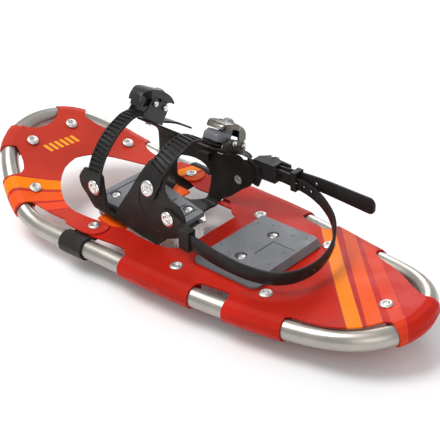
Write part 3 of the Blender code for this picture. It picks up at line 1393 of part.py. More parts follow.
KEEPER_Y = (-80.0, -73.5)


def build_keeper(build):
    """Loop that holds the free tail against the heel strap and slides along both."""
    low_y, high_y = KEEPER_Y
    outer = box((54.0, low_y, 50.9), (67.2, high_y, 71.2))
    inner = box((55.4, low_y - 1, 52.4), (65.8, high_y + 1, 69.7))
    body = combine(outer, inner, "DIFFERENCE")
    build.add("heel_strap_keeper", body, "black", origin=(60.6, (low_y + high_y) / 2, 61.0))


def build_wall_keepers(build):
    """Two small loops on the inner face of the right wall that hold spare strap."""
    outside = RIGHT_WALL_X - HARNESS_THICK / 2 - 5 * GAP
    for name, y, height in (("strap_keeper_toe", 71.0, 63.5), ("strap_keeper_instep", 31.0, 62.0)):
        outer = box((outside - 5.6, y - 8.0, height - 4.6), (outside, y + 8.0, height + 4.6))
        inner = box((outside - 4.2, y - 9.0, height - 3.2), (outside - 1.4, y + 9.0, height + 3.2))
        build.add(name, combine(outer, inner, "DIFFERENCE"), "black", origin=BINDING_ORIGIN)


def build_all():
    clear_scene()
    build = Builder(make_collection(), make_materials())
    build_frame_tube(build)
    build_front_deck(build)
    build_rear_deck(build)
    build_deck_rivets(build)
    build_strap_sleeve(build, "pivot_strap_sleeve_left", -1)
    build_strap_sleeve(build, "pivot_strap_sleeve_right", 1)
    build_strap_middle(build)
    build_toe_crampon(build)
    build_toe_plate(build)
    build_binding_bolts(build)
    build_heel_pad(build)
    build_heel_crampon(build)
    build_heel_screws(build)
    build_left_harness(build)
    build_right_harness(build)
    for kind in BUCKLES:
        build_ladder(build, kind)
        build_buckle(build, kind)
    build_wall_rivets(build)
    build_wall_keepers(build)
    build_heel_strap(build)
    build_left_bracket(build)
    build_right_bracket(build)
    build_heel_buckle(build)
    build_keeper(build)


build_all()
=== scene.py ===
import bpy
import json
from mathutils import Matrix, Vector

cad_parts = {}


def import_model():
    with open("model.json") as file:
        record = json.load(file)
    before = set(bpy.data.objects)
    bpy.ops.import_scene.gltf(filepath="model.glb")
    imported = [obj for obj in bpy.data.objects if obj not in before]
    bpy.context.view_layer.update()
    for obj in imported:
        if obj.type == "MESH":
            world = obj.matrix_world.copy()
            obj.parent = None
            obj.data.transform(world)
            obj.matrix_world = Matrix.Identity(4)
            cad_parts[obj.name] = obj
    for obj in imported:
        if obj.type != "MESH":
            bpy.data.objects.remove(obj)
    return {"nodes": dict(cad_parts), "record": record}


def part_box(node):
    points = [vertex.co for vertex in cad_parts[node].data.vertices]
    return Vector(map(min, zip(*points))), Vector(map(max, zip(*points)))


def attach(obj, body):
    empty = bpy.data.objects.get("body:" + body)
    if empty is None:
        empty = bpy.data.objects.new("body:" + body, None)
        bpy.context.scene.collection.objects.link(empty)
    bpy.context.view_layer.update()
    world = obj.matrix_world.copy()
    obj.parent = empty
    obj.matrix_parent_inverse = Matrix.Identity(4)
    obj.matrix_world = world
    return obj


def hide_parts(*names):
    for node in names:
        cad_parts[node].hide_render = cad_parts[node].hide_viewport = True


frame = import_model()

"""Snowshoe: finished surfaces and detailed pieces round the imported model.

Lengths in the tables are millimetres.  X is the wearer's right, Y points to the toe, Z is up,
and heights are measured from the centre line of the frame tube unless a comment says otherwise.
"""
import json
import math

import bmesh
import bpy
from mathutils import Matrix, Vector

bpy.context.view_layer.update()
NODES = frame["nodes"]
MM = 0.001

# ---- driving dimensions ------------------------------------------------------------------
RIM_HEIGHT = 27.0
LENGTH_SHIFT = 0.9
TUBE_RADIUS = 9.5
TUBE_SIDES = 36
RIM_STEPS = 14               # rings per control point of the rim
RIM_CONTROL = (
    (17.9, 269.8), (50.5, 253.4), (74.3, 213.8), (92.5, 164.5), (91.7, 107.2), (87.1, 38.5),
    (86.6, -35.1), (79.5, -105.3), (68.2, -166.6), (60.2, -213.9), (41.0, -243.4), (15.0, -256.3),
)
TOE_START = 130.0            # the flat pattern bends up from here to the toe
TOE_RADIUS = 126.4
TOE_ANGLE = math.radians(31.0)
TAIL_START = -140.0
TAIL_RADIUS = 600.0
TAIL_ANGLE = math.radians(5.7)
DECK_TOP = 11.6

HARNESS_THICK = 2.4
LEFT_WALL_X = -48.5
WING_LEAN_FROM = 57.0
EAR_LEAN_FROM = 46.0
EAR_START = 70.0
LEFT_LEAN_RADIUS = 42.0
LADDER_THICK = 2.0
LADDER_LEVEL = 1.9           # middle of the ladder above the buckle origin, before scaling
TOOTH_PITCH = 4.8
GAP = 0.3
BUCKLE_SCALE = 0.9
PAWL_PIN_X = 7.0
LEVER_PIN_X = 24.0
PIN_HOLE = 1.85
WINDOW_HALF = (9.6, 7.8)     # half length and half width of the window in a ratchet lever
LIP_HALF = (10.2, 8.4)       # the same, for the bead round it
LUG_SIDES = (9.3, 11.0)      # inner and outer face of the lugs under a lever
PAWL_HALF = 8.8
DOME_RADIUS = 6.8
BUCKLES = {
    "toe": {
        "centre": Vector((11.0, 90.0, 104.9)), "tilt": 37.0, "wide": 0.92, "pins": 17.0, "button": 20.0,
        "dome": (23.0, 36.6), "narrowing": 0.0, "pawl_turn": (40, -110), "skirt": 6.5,
        "arc": ((-12.0, 12.0), (-12.5, 19.0), (-9.0, 25.5), (-1.0, 29.8), (9.0, 32.0), (20.0, 32.2),
                (30.0, 30.4), (37.0, 26.4)),
        "lug": ((28.5, 30.0), (14.0, 31.6)),
        "pawl": ((-8.0, 7.0), (-9.0, 13.0), (-6.0, 19.0), (4.0, 22.0), (14.0, 24.5), (26.0, 24.5),
                 (27.0, 21.6), (12.0, 21.0)),
    },
    "instep": {
        "centre": Vector((28.5, -2.0, 88.4)), "tilt": 30.0, "wide": 1.09, "pins": 8.0, "button": 8.0,
        "dome": (9.0, 33.0), "narrowing": 4.4, "pawl_turn": (90, -40), "skirt": 3.4,
        "arc": ((-12.0, 19.0), (-10.0, 23.6), (-2.5, 26.4), (8.0, 27.4), (19.0, 26.2), (26.0, 22.0),
                (29.5, 14.5)),
        "lug": ((28.0, 13.4), (24.6, 18.8), (18.6, 22.8), (14.0, 24.0)),
        "pawl": ((-14.0, 5.4), (-14.5, 12.0), (-9.0, 17.0), (3.0, 17.0)),
    },
}
LADDERS = {
    "toe": {
        "wide": 19.8, "flange": 20.6, "end_radius": 9.4,
        "wall": ((95, 35), (95, 45), (95, 50), (95, 56), (95, 61)),
        "free": ((-42.5, 95, 72.5), (-37.0, 93.3, 82.0), (-30.0, 91.8, 90.8), (-21.5, 90.8, 98.2),
                 (-11.5, 90.2, 103.6), (-1.0, 90, 107.0)),
        "inside": (0.5, 12.0, 24.0, 33.0),
        "end": ((56.0, 90, 79.0), (82.0, 90, 61.5)),
        "teeth": (27.0, 104.0),
    },
    "instep": {
        "wide": 23.6, "flange": 27.0, "end_radius": 11.6,
        "wall": ((15, 58.0), (15, 64.5), (15, 69), (14, 75), (12.5, 81), (10.5, 87)),
        "free": ((-34.5, 6.8, 94.2), (-27.0, 4.2, 101.0), (-17.5, 1.8, 107.0), (-8.0, 0.2, 109.5),
                 (2.0, -1.0, 107.0)),
        "inside": (-19.0, -6.0, 10.0, 33.0),
        "end": ((66.0, -2, 66.5), (74.0, -2, 57.0)),
        "teeth": (33.0, 97.0),
    },
}
HEEL_THICK = 2.8
BUCKLE_BAR = (60.2, -31.0)
STRAP_HALF_TURN = 3.2
HEEL_PATH = (
    (-55.5, -34.0, 37.0), (-55.8, -44.0, 36.0), (-56.5, -60.0, 34.0), (-56.5, -81.0, 31.0),
    (-53.5, -109.0, 28.0), (-47.0, -132.0, 27.0), (-34.0, -147.0, 27.0), (-16.0, -154.5, 28.5),
    (4.0, -155.0, 31.0), (26.0, -148.0, 36.0), (45.0, -132.5, 43.0), (56.0, -112.0, 50.0),
    (59.0, -93.0, 56.0), (57.6, -76.0, 60.0), (57.0, -62.0, 61.5), (57.0, -46.0, 61.5),
    (57.0, -31.0, 61.5),
)
TAIL_PATH = ((63.4, -46.0, 61.5), (63.6, -62.0, 61.8), (64.2, -80.0, 62.2), (64.2, -105.0, 62.5),
             (62.5, -135.0, 62.3), (61.0, -160.0, 62.0), (60.5, -168.0, 62.0))
HEEL_HOLES = (0.31, 0.345, 0.38, 0.415, 0.45, 0.523, 0.543, 0.563, 0.583, 0.62, 0.645)

CAMERA_PLACE = (-594.8, -625.3, 552.1)      # above the ground
CAMERA_TURN = math.radians(-44.884)
CAMERA_RISE = math.radians(30.567)
CAMERA_ROLL = math.radians(-3.869)
CAMERA_LENS = 82.22


# ---- mesh tools --------------------------------------------------------------------------
def world(point):
    return Vector((point[0], point[1] + LENGTH_SHIFT, point[2] + RIM_HEIGHT)) * MM


def mesh_from(points, faces):
    body = bmesh.new()
    made = [body.verts.new(point) for point in points]
    for face in faces:
        body.faces.new([made[index] for index in face])
    bmesh.ops.recalc_face_normals(body, faces=body.faces)
    return body


def loft(rings, closed=False):
    """Skin a row of equal rings; an open row gets a flat cap at each end."""
    count = len(rings[0])
    points = [point for ring in rings for point in ring]
    faces = []
    last = len(rings) if closed else len(rings) - 1
    for row in range(last):
        here = row * count
        there = (row + 1) % len(rings) * count
        for side in range(count):
            nxt = (side + 1) % count
            faces.append((here + side, here + nxt, there + nxt, there + side))
    if not closed:
        faces.append(tuple(range(count)))
        faces.append(tuple(range((len(rings) - 1) * count, len(rings) * count)))
    return mesh_from(points, faces)


def lathe(profile, segments):
    """Turn (radius, height) pairs, first and last on the axis, about Z."""
    points = [Vector((0, 0, profile[0][1]))]
    for radius, height in profile[1:-1]:
        for step in range(segments):
            angle = 2 * math.pi * step / segments
            points.append(Vector((radius * math.cos(angle), radius * math.sin(angle), height)))
    points.append(Vector((0, 0, profile[-1][1])))
    rows = len(profile) - 2
    faces = []
    for step in range(segments):
        nxt = (step + 1) % segments
        faces.append((0, 1 + nxt, 1 + step))
        for row in range(rows - 1):
            here = 1 + row * segments
            there = here + segments
            faces.append((here + step, here + nxt, there + nxt, there + step))
        top = 1 + (rows - 1) * segments
        faces.append((top + step, top + nxt, len(points) - 1))
    return mesh_from(points, faces)


def merged(bodies):
    """Put several closed shells into one mesh."""
    out = bmesh.new()
    for body in bodies:
        shell = bpy.data.meshes.new("shell")
        body.to_mesh(shell)
        out.from_mesh(shell)
        bpy.data.meshes.remove(shell)
        body.free()
    return out


def moved(body, matrix):
    bmesh.ops.transform(body, matrix=matrix, verts=body.verts)
    return body


def add_piece(name, body, material, rides_on, stands_for=(), smooth=40.0):
    """Turn a body drawn in millimetres round the rim into a piece in metres."""
    for vert in body.verts:
        vert.co = world(vert.co)
    bmesh.ops.recalc_face_normals(body, faces=body.faces)
    mesh = bpy.data.meshes.new(name)
    body.to_mesh(mesh)
    body.free()
    mesh.materials.append(material)
    mesh.shade_smooth()
    mesh.set_sharp_from_angle(angle=math.radians(smooth))
    item = bpy.data.objects.new(name, mesh)
    bpy.context.scene.collection.objects.link(item)
    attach(item, rides_on)
    if stands_for:
        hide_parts(*stands_for)
    return item


def soften(item, width, segments=2, angle=32.0):
    """Round the edges of a piece by a width in millimetres."""
    weld = item.modifiers.new("join faces", "WELD")
    weld.merge_threshold = 1e-6
    bevel = item.modifiers.new("soft edges", "BEVEL")
    bevel.width = width * MM
    bevel.segments = segments
    bevel.limit_method = "ANGLE"
    bevel.angle_limit = math.radians(angle)
    bevel.use_clamp_overlap = True
    bevel.harden_normals = False


# ---- rim curve and the toe and tail bends ------------------------------------------------
def rim_point(position):
    """Centre line of the rim: 0 is the toe centre, 12 the tail centre, 24 the toe again."""
    loop = [*RIM_CONTROL, *((-x, y) for x, y in reversed(RIM_CONTROL))]
    place = (position - 0.5) % len(loop)
    index = int(math.floor(place))
    t = place - index
    weights = (
        (1 - t) ** 3 / 6,
        (3 * t ** 3 - 6 * t ** 2 + 4) / 6,
        (-3 * t ** 3 + 3 * t ** 2 + 3 * t + 1) / 6,
        t ** 3 / 6,
    )
    total = Vector((0.0, 0.0))
    for offset, weight in zip((-1, 0, 1, 2), weights):
        total += Vector(loop[(index + offset) % len(loop)]) * weight
    return total


def rim_outward(position):
    step = 0.01
    run = (rim_point(position + step) - rim_point(position - step)).normalized()
    return Vector((-run.y, run.x))


def bend_angle(along):
    if along > TOE_START:
        return min((along - TOE_START) / TOE_RADIUS, TOE_ANGLE)
    if along < TAIL_START:
        return max((along - TAIL_START) / TAIL_RADIUS, -TAIL_ANGLE)
    return 0.0


def bend(point):
    """Carry a point of the flat pattern (x, along, height) onto the bent snowshoe."""
    x, along, height = point
    angle = bend_angle(along)
    if angle > 0:
        base_y = TOE_START + TOE_RADIUS * math.sin(angle)
        base_z = TOE_RADIUS * (1 - math.cos(angle))
        rest = along - TOE_START - TOE_RADIUS * angle
    elif angle < 0:
        base_y = TAIL_START + TAIL_RADIUS * math.sin(angle)
        base_z = TAIL_RADIUS * (1 - math.cos(angle))
        rest = along - TAIL_START - TAIL_RADIUS * angle
    else:
        base_y = along
        base_z = 0.0
        rest = 0.0
    y = base_y + rest * math.cos(angle) - height * math.sin(angle)
    z = base_z + rest * math.sin(angle) + height * math.cos(angle)
    return Vector((x, y, z))


def flat_along(y):
    """Flat-pattern distance of a plan Y measured on top of the bent deck."""
    if y > TOE_START:
        radius, start, limit = TOE_RADIUS - DECK_TOP, TOE_START, TOE_ANGLE
    elif y < TAIL_START:
        radius, start, limit = TAIL_RADIUS - DECK_TOP, TAIL_START, -TAIL_ANGLE
    else:
        return y
    edge = start + radius * math.sin(limit)
    full = TOE_RADIUS * limit if y > 0 else TAIL_RADIUS * limit
    if abs(y) > abs(edge):
        return start + full + (y - edge) / math.cos(limit)
    angle = math.asin((y - start) / radius)
    return start + angle * (TOE_RADIUS if y > 0 else TAIL_RADIUS)


# ---- material tools ----------------------------------------------------------------------
class Surface:
    """One material and short ways to wire its nodes."""

    def __init__(self, name, colour, metallic, roughness):
        self.material = bpy.data.materials.new(name)
        self.material.use_nodes = True
        self.tree = self.material.node_tree
        self.shader = self.tree.nodes["Principled BSDF"]
        self.set("Base Color", (*colour, 1.0))
        self.set("Metallic", metallic)
        self.set("Roughness", roughness)
        self.place = self.tree.nodes.new("ShaderNodeTexCoord").outputs["Object"]

    def set(self, socket, value):
        self.shader.inputs[socket].default_value = value

    def feed(self, target, source):
        if isinstance(source, (int, float)):
            target.default_value = source
        elif isinstance(source, tuple):
            target.default_value = source
        else:
            self.tree.links.new(source, target)

    def stretched(self, scale):
        node = self.tree.nodes.new("ShaderNodeMapping")
        self.tree.links.new(self.place, node.inputs["Vector"])
        node.inputs["Scale"].default_value = scale
        return node.outputs["Vector"]

    def noise(self, scale, detail=3.0, vector=None, roughness=0.55):
        node = self.tree.nodes.new("ShaderNodeTexNoise")
        self.tree.links.new(vector or self.place, node.inputs["Vector"])
        node.inputs["Scale"].default_value = scale
        node.inputs["Detail"].default_value = detail
        node.inputs["Roughness"].default_value = roughness
        return node.outputs["Fac"]

    def maths(self, operation, first, second=0.0, clamp=False):
        node = self.tree.nodes.new("ShaderNodeMath")
        node.operation = operation
        node.use_clamp = clamp
        self.feed(node.inputs[0], first)
        self.feed(node.inputs[1], second)
        return node.outputs[0]

    def between(self, value, low, high, out_low=0.0, out_high=1.0):
        node = self.tree.nodes.new("ShaderNodeMapRange")
        node.interpolation_type = "SMOOTHSTEP"
        self.feed(node.inputs["Value"], value)
        for socket, number in zip(("From Min", "From Max", "To Min", "To Max"), (low, high, out_low, out_high)):
            node.inputs[socket].default_value = number
        return node.outputs["Result"]

    def mix(self, share, first, second):
        node = self.tree.nodes.new("ShaderNodeMix")
        node.data_type = "RGBA"
        self.feed(node.inputs["Factor"], share)
        sockets = [item for item in node.inputs if item.type == "RGBA"]
        self.feed(sockets[0], first)
        self.feed(sockets[1], second)
        return [item for item in node.outputs if item.type == "RGBA"][0]

    def colour(self, source):
        self.feed(self.shader.inputs["Base Color"], source)

    def rough(self, source):
        self.feed(self.shader.inputs["Roughness"], source)

    def bump(self, height, distance, strength=1.0):
        node = self.tree.nodes.new("ShaderNodeBump")
        node.inputs["Distance"].default_value = distance * MM
        node.inputs["Strength"].default_value = strength
        self.feed(node.inputs["Height"], height)
        old = self.shader.inputs["Normal"].links
        if old:
            self.tree.links.new(old[0].from_socket, node.inputs["Normal"])
        self.tree.links.new(node.outputs["Normal"], self.shader.inputs["Normal"])

    def plan(self):
        """X and Y of the surface point, in metres."""
        node = self.tree.nodes.new("ShaderNodeSeparateXYZ")
        self.tree.links.new(self.place, node.inputs[0])
        return node.outputs["X"], node.outputs["Y"]

    def beyond(self, first, second, softness=0.25):
        """1 on the left of the plan line from first to second, 0 on its right, in millimetres."""
        x, y = self.plan_sockets
        run = (Vector(second) - Vector(first)).normalized()
        normal = Vector((-run.y, run.x))
        offset = normal.dot(Vector((first[0], first[1] + LENGTH_SHIFT))) * MM
        part_x = self.maths("MULTIPLY", x, normal.x)
        part_y = self.maths("MULTIPLY", y, normal.y)
        total = self.maths("SUBTRACT", self.maths("ADD", part_x, part_y), offset)
        return self.between(total, -softness * MM, softness * MM)


    def strip_mask(self, front, rear):
        """1 between two plan lines that run the same way."""
        return self.maths("MULTIPLY", self.beyond(*front), self.maths("SUBTRACT", 1.0, self.beyond(*rear)))


def shade(colour, factor):
    return tuple(min(channel * factor, 1.0) for channel in colour)


def tone(surface, colour, low, high, scale, detail=3.0):
    """Colour that drifts slowly between a darker and a lighter tone."""
    drift = surface.noise(scale, detail)
    return surface.mix(surface.between(drift, 0.35, 0.65), (*shade(colour, low), 1.0),
                       (*shade(colour, high), 1.0))


def make_aluminium():
    colour = (0.45, 0.415, 0.375)
    surface = Surface("satin_aluminium_tube", colour, 1.0, 0.32)
    surface.colour(tone(surface, colour, 0.90, 1.05, 22.0))
    fine = surface.noise(900.0, 2.0)
    broad = surface.noise(35.0, 4.0)
    worn = surface.between(broad, 0.3, 0.7, 0.26, 0.38)
    surface.rough(surface.maths("ADD", worn, surface.maths("MULTIPLY", fine, 0.06)))
    surface.bump(fine, 0.02, 0.5)
    return surface.material


def scuffed(surface, base, amount):
    """Faint paler scuffs: thin ridges of a stretched noise."""
    scratch = surface.noise(60.0, 5.0, surface.stretched((1.0, 0.16, 1.0)), 0.7)
    mask = surface.between(scratch, 0.66, 0.74)
    mask = surface.maths("MULTIPLY", mask, amount)
    return surface.mix(mask, base, (0.9, 0.62, 0.55, 1.0))


def deck_finish(surface, colour_socket):
    surface.colour(scuffed(surface, colour_socket, 0.10))
    grain = surface.noise(1400.0, 2.0)
    waves = surface.noise(45.0, 2.0)
    surface.rough(surface.between(waves, 0.3, 0.7, 0.36, 0.48))
    surface.bump(waves, 0.9, 0.35)
    surface.bump(grain, 0.03, 0.6)
    surface.set("Specular IOR Level", 0.10)


ORANGE = (0.86, 0.20, 0.002, 1.0)
ORANGE_RED = (0.74, 0.084, 0.010, 1.0)
PALE_RED = (0.62, 0.040, 0.012, 1.0)
PALE_ARM = (0.72, 0.060, 0.020, 1.0)
LINE_RED = (0.42, 0.018, 0.022, 1.0)


def paint_band(surface, base, front, rear, colour, line=1.2):
    """A stripe between two plan lines, edged by a thin dark red line."""
    border = surface.strip_mask(shifted(front, line), shifted(rear, -line))
    edged = surface.mix(border, base, LINE_RED)
    return surface.mix(surface.strip_mask(front, rear), edged, colour)


def shifted(line, distance):
    """Move a plan line sideways, to its right."""
    first, second = Vector(line[0]), Vector(line[1])
    run = (second - first).normalized()
    side = Vector((run.y, -run.x)) * distance
    return tuple(first + side), tuple(second + side)


# Stripe edges on the front deck's left arm, and on its right tongue.
ARM_BANDS = (
    (((-36.1, 173.4), (-77.2, 201.6)), ((-45.2, 163.4), (-87.0, 191.8)), ORANGE),
    (((-47.2, 160.4), (-90.5, 190.0)), ((-52.0, 147.5), (-97.6, 176.5)), ORANGE_RED),
    (((-52.7, 144.8), (-98.0, 173.0)), ((-56.6, 131.3), (-99.0, 160.0)), PALE_ARM),
)
TONGUE_BANDS = (
    (((94.7, 88.6), (77.8, 94.8)), ((89.6, 75.0), (60.3, 85.2)), ORANGE),
    (((86.4, 71.6), (59.0, 81.2)), ((86.4, 52.0), (59.0, 62.0)), ORANGE_RED),
)
# Stripe edges on the tail, each from the right side to the left side of the deck.
TAIL_BANDS = (
    (((74.6, -93.2), (-50.7, -220.4)), ((78.6, -107.8), (-42.8, -231.0)), ORANGE),
    (((81.8, -114.2), (-39.8, -233.4)), ((77.1, -134.9), (-28.6, -241.6)), ORANGE_RED),
    (((77.0, -140.3), (-23.4, -245.0)), ((68.3, -166.4), (-23.4, -263.6)), PALE_RED),
)


def make_rear_deck():
    colour = (0.44, 0.013, 0.005)
    surface = Surface("red_deck_sheet_detail", colour, 0.0, 0.4)
    surface.plan_sockets = surface.plan()
    paint = tone(surface, colour, 0.88, 1.14, 14.0)
    for front, rear, stripe in TAIL_BANDS:
        paint = paint_band(surface, paint, front, rear, stripe)
    deck_finish(surface, paint)
    return surface.material


def make_front_deck():
    colour = (0.46, 0.036, 0.020)
    surface = Surface("coral_deck_sheet_detail", colour, 0.0, 0.42)
    surface.plan_sockets = surface.plan()
    paint = tone(surface, colour, 0.92, 1.10, 14.0)
    deep = surface.between(surface.plan_sockets[1], 0.075, 0.135, 1.0, 0.0)
    paint = surface.mix(deep, paint, (0.50, 0.026, 0.016, 1.0))
    left = surface.between(surface.plan_sockets[0], -0.020, -0.019, 1.0, 0.0)
    ahead = surface.between(surface.plan_sockets[1], 0.110, 0.111)
    arm = surface.maths("MULTIPLY", left, ahead)
    striped = paint
    for front, rear, stripe in ARM_BANDS:
        striped = paint_band(surface, striped, front, rear, stripe)
    paint = surface.mix(arm, paint, striped)
    right = surface.between(surface.plan_sockets[0], 0.050, 0.051)
    behind = surface.between(surface.plan_sockets[1], 0.108, 0.109, 1.0, 0.0)
    striped = paint
    for front, rear, stripe in TONGUE_BANDS:
        striped = paint_band(surface, striped, front, rear, stripe)
    paint = surface.mix(surface.maths("MULTIPLY", right, behind), paint, striped)
    paint = emblem(surface, paint)
    deck_finish(surface, paint)
    return surface.material


def emblem(surface, base):
    """A plain row of slanted bars where the real deck carries its printed mark."""
    x, y = surface.plan_sockets
    turn = math.radians(EMBLEM_TURN)
    centre = (EMBLEM_CENTRE[0] * MM, (EMBLEM_CENTRE[1] + LENGTH_SHIFT) * MM)
    dx = surface.maths("SUBTRACT", x, centre[0])
    dy = surface.maths("SUBTRACT", y, centre[1])
    along = surface.maths("ADD", surface.maths("MULTIPLY", dx, math.cos(turn)),
                          surface.maths("MULTIPLY", dy, math.sin(turn)))
    across = surface.maths("SUBTRACT", surface.maths("MULTIPLY", dy, math.cos(turn)),
                           surface.maths("MULTIPLY", dx, math.sin(turn)))
    slanted = surface.maths("ADD", along, surface.maths("MULTIPLY", across, 0.45))
    wave = surface.maths("FRACT", surface.maths("DIVIDE", slanted, EMBLEM_PITCH * MM))
    bars = surface.maths("LESS_THAN", wave, 0.55)
    inside = surface.maths("LESS_THAN", surface.maths("ABSOLUTE", slanted), EMBLEM_LONG * MM / 2)
    low = surface.maths("LESS_THAN", surface.maths("ABSOLUTE", across), EMBLEM_HIGH * MM / 2)
    mask = surface.maths("MULTIPLY", surface.maths("MULTIPLY", bars, inside), low)
    return surface.mix(mask, base, (0.90, 0.36, 0.03, 1.0))


EMBLEM_CENTRE = (0.0, 210.0)
EMBLEM_TURN = -4.0
EMBLEM_PITCH = 7.0
EMBLEM_LONG = 42.0
EMBLEM_HIGH = 9.0


def make_rubber(name, colour=(0.020, 0.0175, 0.0155), rough=(0.36, 0.50)):
    surface = Surface(name, colour, 0.0, 0.45)
    worn = surface.noise(70.0, 4.0)
    surface.colour(surface.mix(surface.between(worn, 0.5, 0.8), (*colour, 1.0), (*shade(colour, 1.7), 1.0)))
    surface.rough(surface.between(surface.noise(120.0, 3.0), 0.3, 0.7, *rough))
    surface.bump(surface.noise(1500.0, 2.0), 0.035, 0.7)
    surface.set("Specular IOR Level", 0.16)
    return surface.material


def make_steel(name, colour=(0.80, 0.78, 0.75), rough=(0.16, 0.30)):
    surface = Surface(name, colour, 1.0, 0.22)
    surface.colour(tone(surface, colour, 0.86, 1.04, 160.0))
    surface.rough(surface.between(surface.noise(260.0, 3.0), 0.3, 0.7, *rough))
    surface.bump(surface.noise(1100.0, 2.0), 0.02, 0.5)
    return surface.material


def make_plastic(name, colour, rough, grain):
    surface = Surface(name, colour, 0.0, 0.4)
    surface.colour(tone(surface, colour, 0.86, 1.12, 30.0, 4.0))
    surface.rough(surface.between(surface.noise(90.0, 3.0), 0.3, 0.7, *rough))
    surface.bump(surface.noise(1300.0, 3.0), 0.05, grain)
    return surface.material


def make_materials():
    return {
        "tube": make_aluminium(),
        "coral": make_front_deck(),
        "red": make_rear_deck(),
        "rivet": make_steel("rivet_steel_detail"),
        "black": make_rubber("moulded_rubber_detail"),
        "strap": make_rubber("strap_rubber_detail", (0.017, 0.0155, 0.0145), (0.28, 0.42)),
        "orange": make_rubber("orange_rubber_detail", (0.95, 0.11, 0.004), (0.40, 0.52)),
        "plate": make_plastic("slate_plate_detail", (0.150, 0.153, 0.162), (0.42, 0.56), 0.8),
        "crampon": make_steel("crampon_alloy_detail", (0.86, 0.85, 0.83), (0.24, 0.36)),
        "lever": make_rubber("matt_lever_detail", (0.022, 0.021, 0.021), (0.40, 0.52)),
        "toe_metal": make_plastic("gloss_lever_detail", (0.013, 0.012, 0.012), (0.14, 0.26), 0.25),
        "instep_metal": make_steel("dark_nickel_detail", (0.17, 0.155, 0.14), (0.20, 0.32)),
        "deck_rivet": make_steel("satin_rivet_detail", (0.66, 0.63, 0.60), (0.34, 0.46)),
        "button": make_plastic("release_grey_detail", (0.155, 0.160, 0.175), (0.22, 0.34), 0.3),
    }


SLOT_TO_MATERIAL = {
    "satin_aluminium": "tube", "coral_deck_sheet": "coral", "red_deck_sheet": "red",
    "bright_rivet_steel": "rivet", "black_moulded_rubber": "black", "orange_strap_rubber": "orange",
    "slate_grey_plastic": "plate", "bright_crampon_alloy": "crampon", "dark_lever_metal": "lever",
    "grey_release_plastic": "button",
}
SPECIAL_FINISH = {"toe_buckle_base": "toe_metal", "instep_buckle_base": "instep_metal"}
SOFT_EDGES = {
    "tube": 0.0, "coral": 0.35, "red": 0.35, "rivet": 0.25, "black": 0.6, "orange": 0.8, "plate": 0.9,
    "crampon": 0.35, "lever": 0.45, "button": 0.8,
}


def finish_cad_nodes(materials):
    """Give every node of the model its detailed material and softly rounded edges."""
    for part in frame["record"]["subparts"]:
        kind = SLOT_TO_MATERIAL[part["material_slot"]]
        item = NODES[part["node"]]
        item.data.materials.clear()
        item.data.materials.append(materials[SPECIAL_FINISH.get(part["node"], kind)])
        for face in item.data.polygons:
            face.material_index = 0
        if SOFT_EDGES[kind]:
            soften(item, SOFT_EDGES[kind])


# ---- detailed pieces ---------------------------------------------------------------------
def build_tube(materials):
    rings = []
    for step in range(24 * RIM_STEPS):
        position = step / RIM_STEPS
        centre = rim_point(position)
        outward = rim_outward(position)
        ring = []
        for side in range(TUBE_SIDES):
            angle = 2 * math.pi * side / TUBE_SIDES
            across = outward * (TUBE_RADIUS * math.cos(angle))
            ring.append(bend((centre.x + across.x, centre.y + across.y, TUBE_RADIUS * math.sin(angle))))
        rings.append(ring)
    piece = add_piece("frame_tube_smooth", loft(rings, closed=True), materials["tube"], "frame", ["frame_tube"])


RIVET_PROFILE = (
    (0, -5.0), (3.0, -5.0), (3.0, -4.1), (2.2, -4.1), (2.2, 0.3), (6.3, 0.3), (6.4, 0.45), (6.2, 0.9),
    (5.6, 1.35), (4.8, 1.65), (4.0, 1.8), (3.3, 1.75), (2.9, 1.45), (2.6, 0.7), (2.3, 0.45), (1.4, 0.4),
    (0, 0.4),
)


def build_deck_rivets(materials):
    """Round-edged hollow rivets where the model has its deck rivets."""
    for name in sorted(NODES):
        if not name.startswith("deck_rivet"):
            continue
        low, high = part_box(name)
        centre = (low + high) / 2 / MM
        y = centre.y - LENGTH_SHIFT
        along = flat_along(y)
        angle = bend_angle(along)
        body = lathe(RIVET_PROFILE, 32)
        middle = (RIVET_PROFILE[0][1] + 1.8) / 2
        turn = Matrix.Rotation(angle, 4, "X")
        offset = turn @ Vector((0, 0, middle))
        place = Vector((centre.x, y, centre.z - RIM_HEIGHT)) - offset
        moved(body, Matrix.Translation(place) @ turn)
        piece = add_piece(name + "_round", body, materials["deck_rivet"], "frame", [name])


# ---- the folded harness walls ------------------------------------------------------------
def left_lean_from(y):
    return EAR_LEAN_FROM if y > EAR_START else WING_LEAN_FROM


def on_left_wall(y, height, off):
    """Point at a set distance outside the left wall, and the way the wall faces there."""
    start = left_lean_from(y)
    if height <= start:
        return Vector((LEFT_WALL_X - off, y, height)), Vector((-1, 0, 0))
    lean = (height - start) / LEFT_LEAN_RADIUS
    reach = LEFT_LEAN_RADIUS + off
    point = Vector((LEFT_WALL_X + LEFT_LEAN_RADIUS - reach * math.cos(lean), y, start + reach * math.sin(lean)))
    return point, Vector((-math.cos(lean), 0, math.sin(lean)))


# ---- straps ------------------------------------------------------------------------------
def smooth_path(points, steps):
    guide = [Vector(point) for point in points]
    guide = [2 * guide[0] - guide[1]] + guide + [2 * guide[-1] - guide[-2]]
    out = []
    for index in range(1, len(guide) - 2):
        a, b, c, d = guide[index - 1:index + 3]
        for step in range(steps):
            t = step / steps
            out.append(0.5 * (2 * b + (c - a) * t + (2 * a - 5 * b + 4 * c - d) * t * t
                              + (3 * b - a - 3 * c + d) * t ** 3))
    out.append(guide[-2])
    return out


def path_lengths(path):
    lengths = [0.0]
    for before, after in zip(path, path[1:]):
        lengths.append(lengths[-1] + (after - before).length)
    return lengths


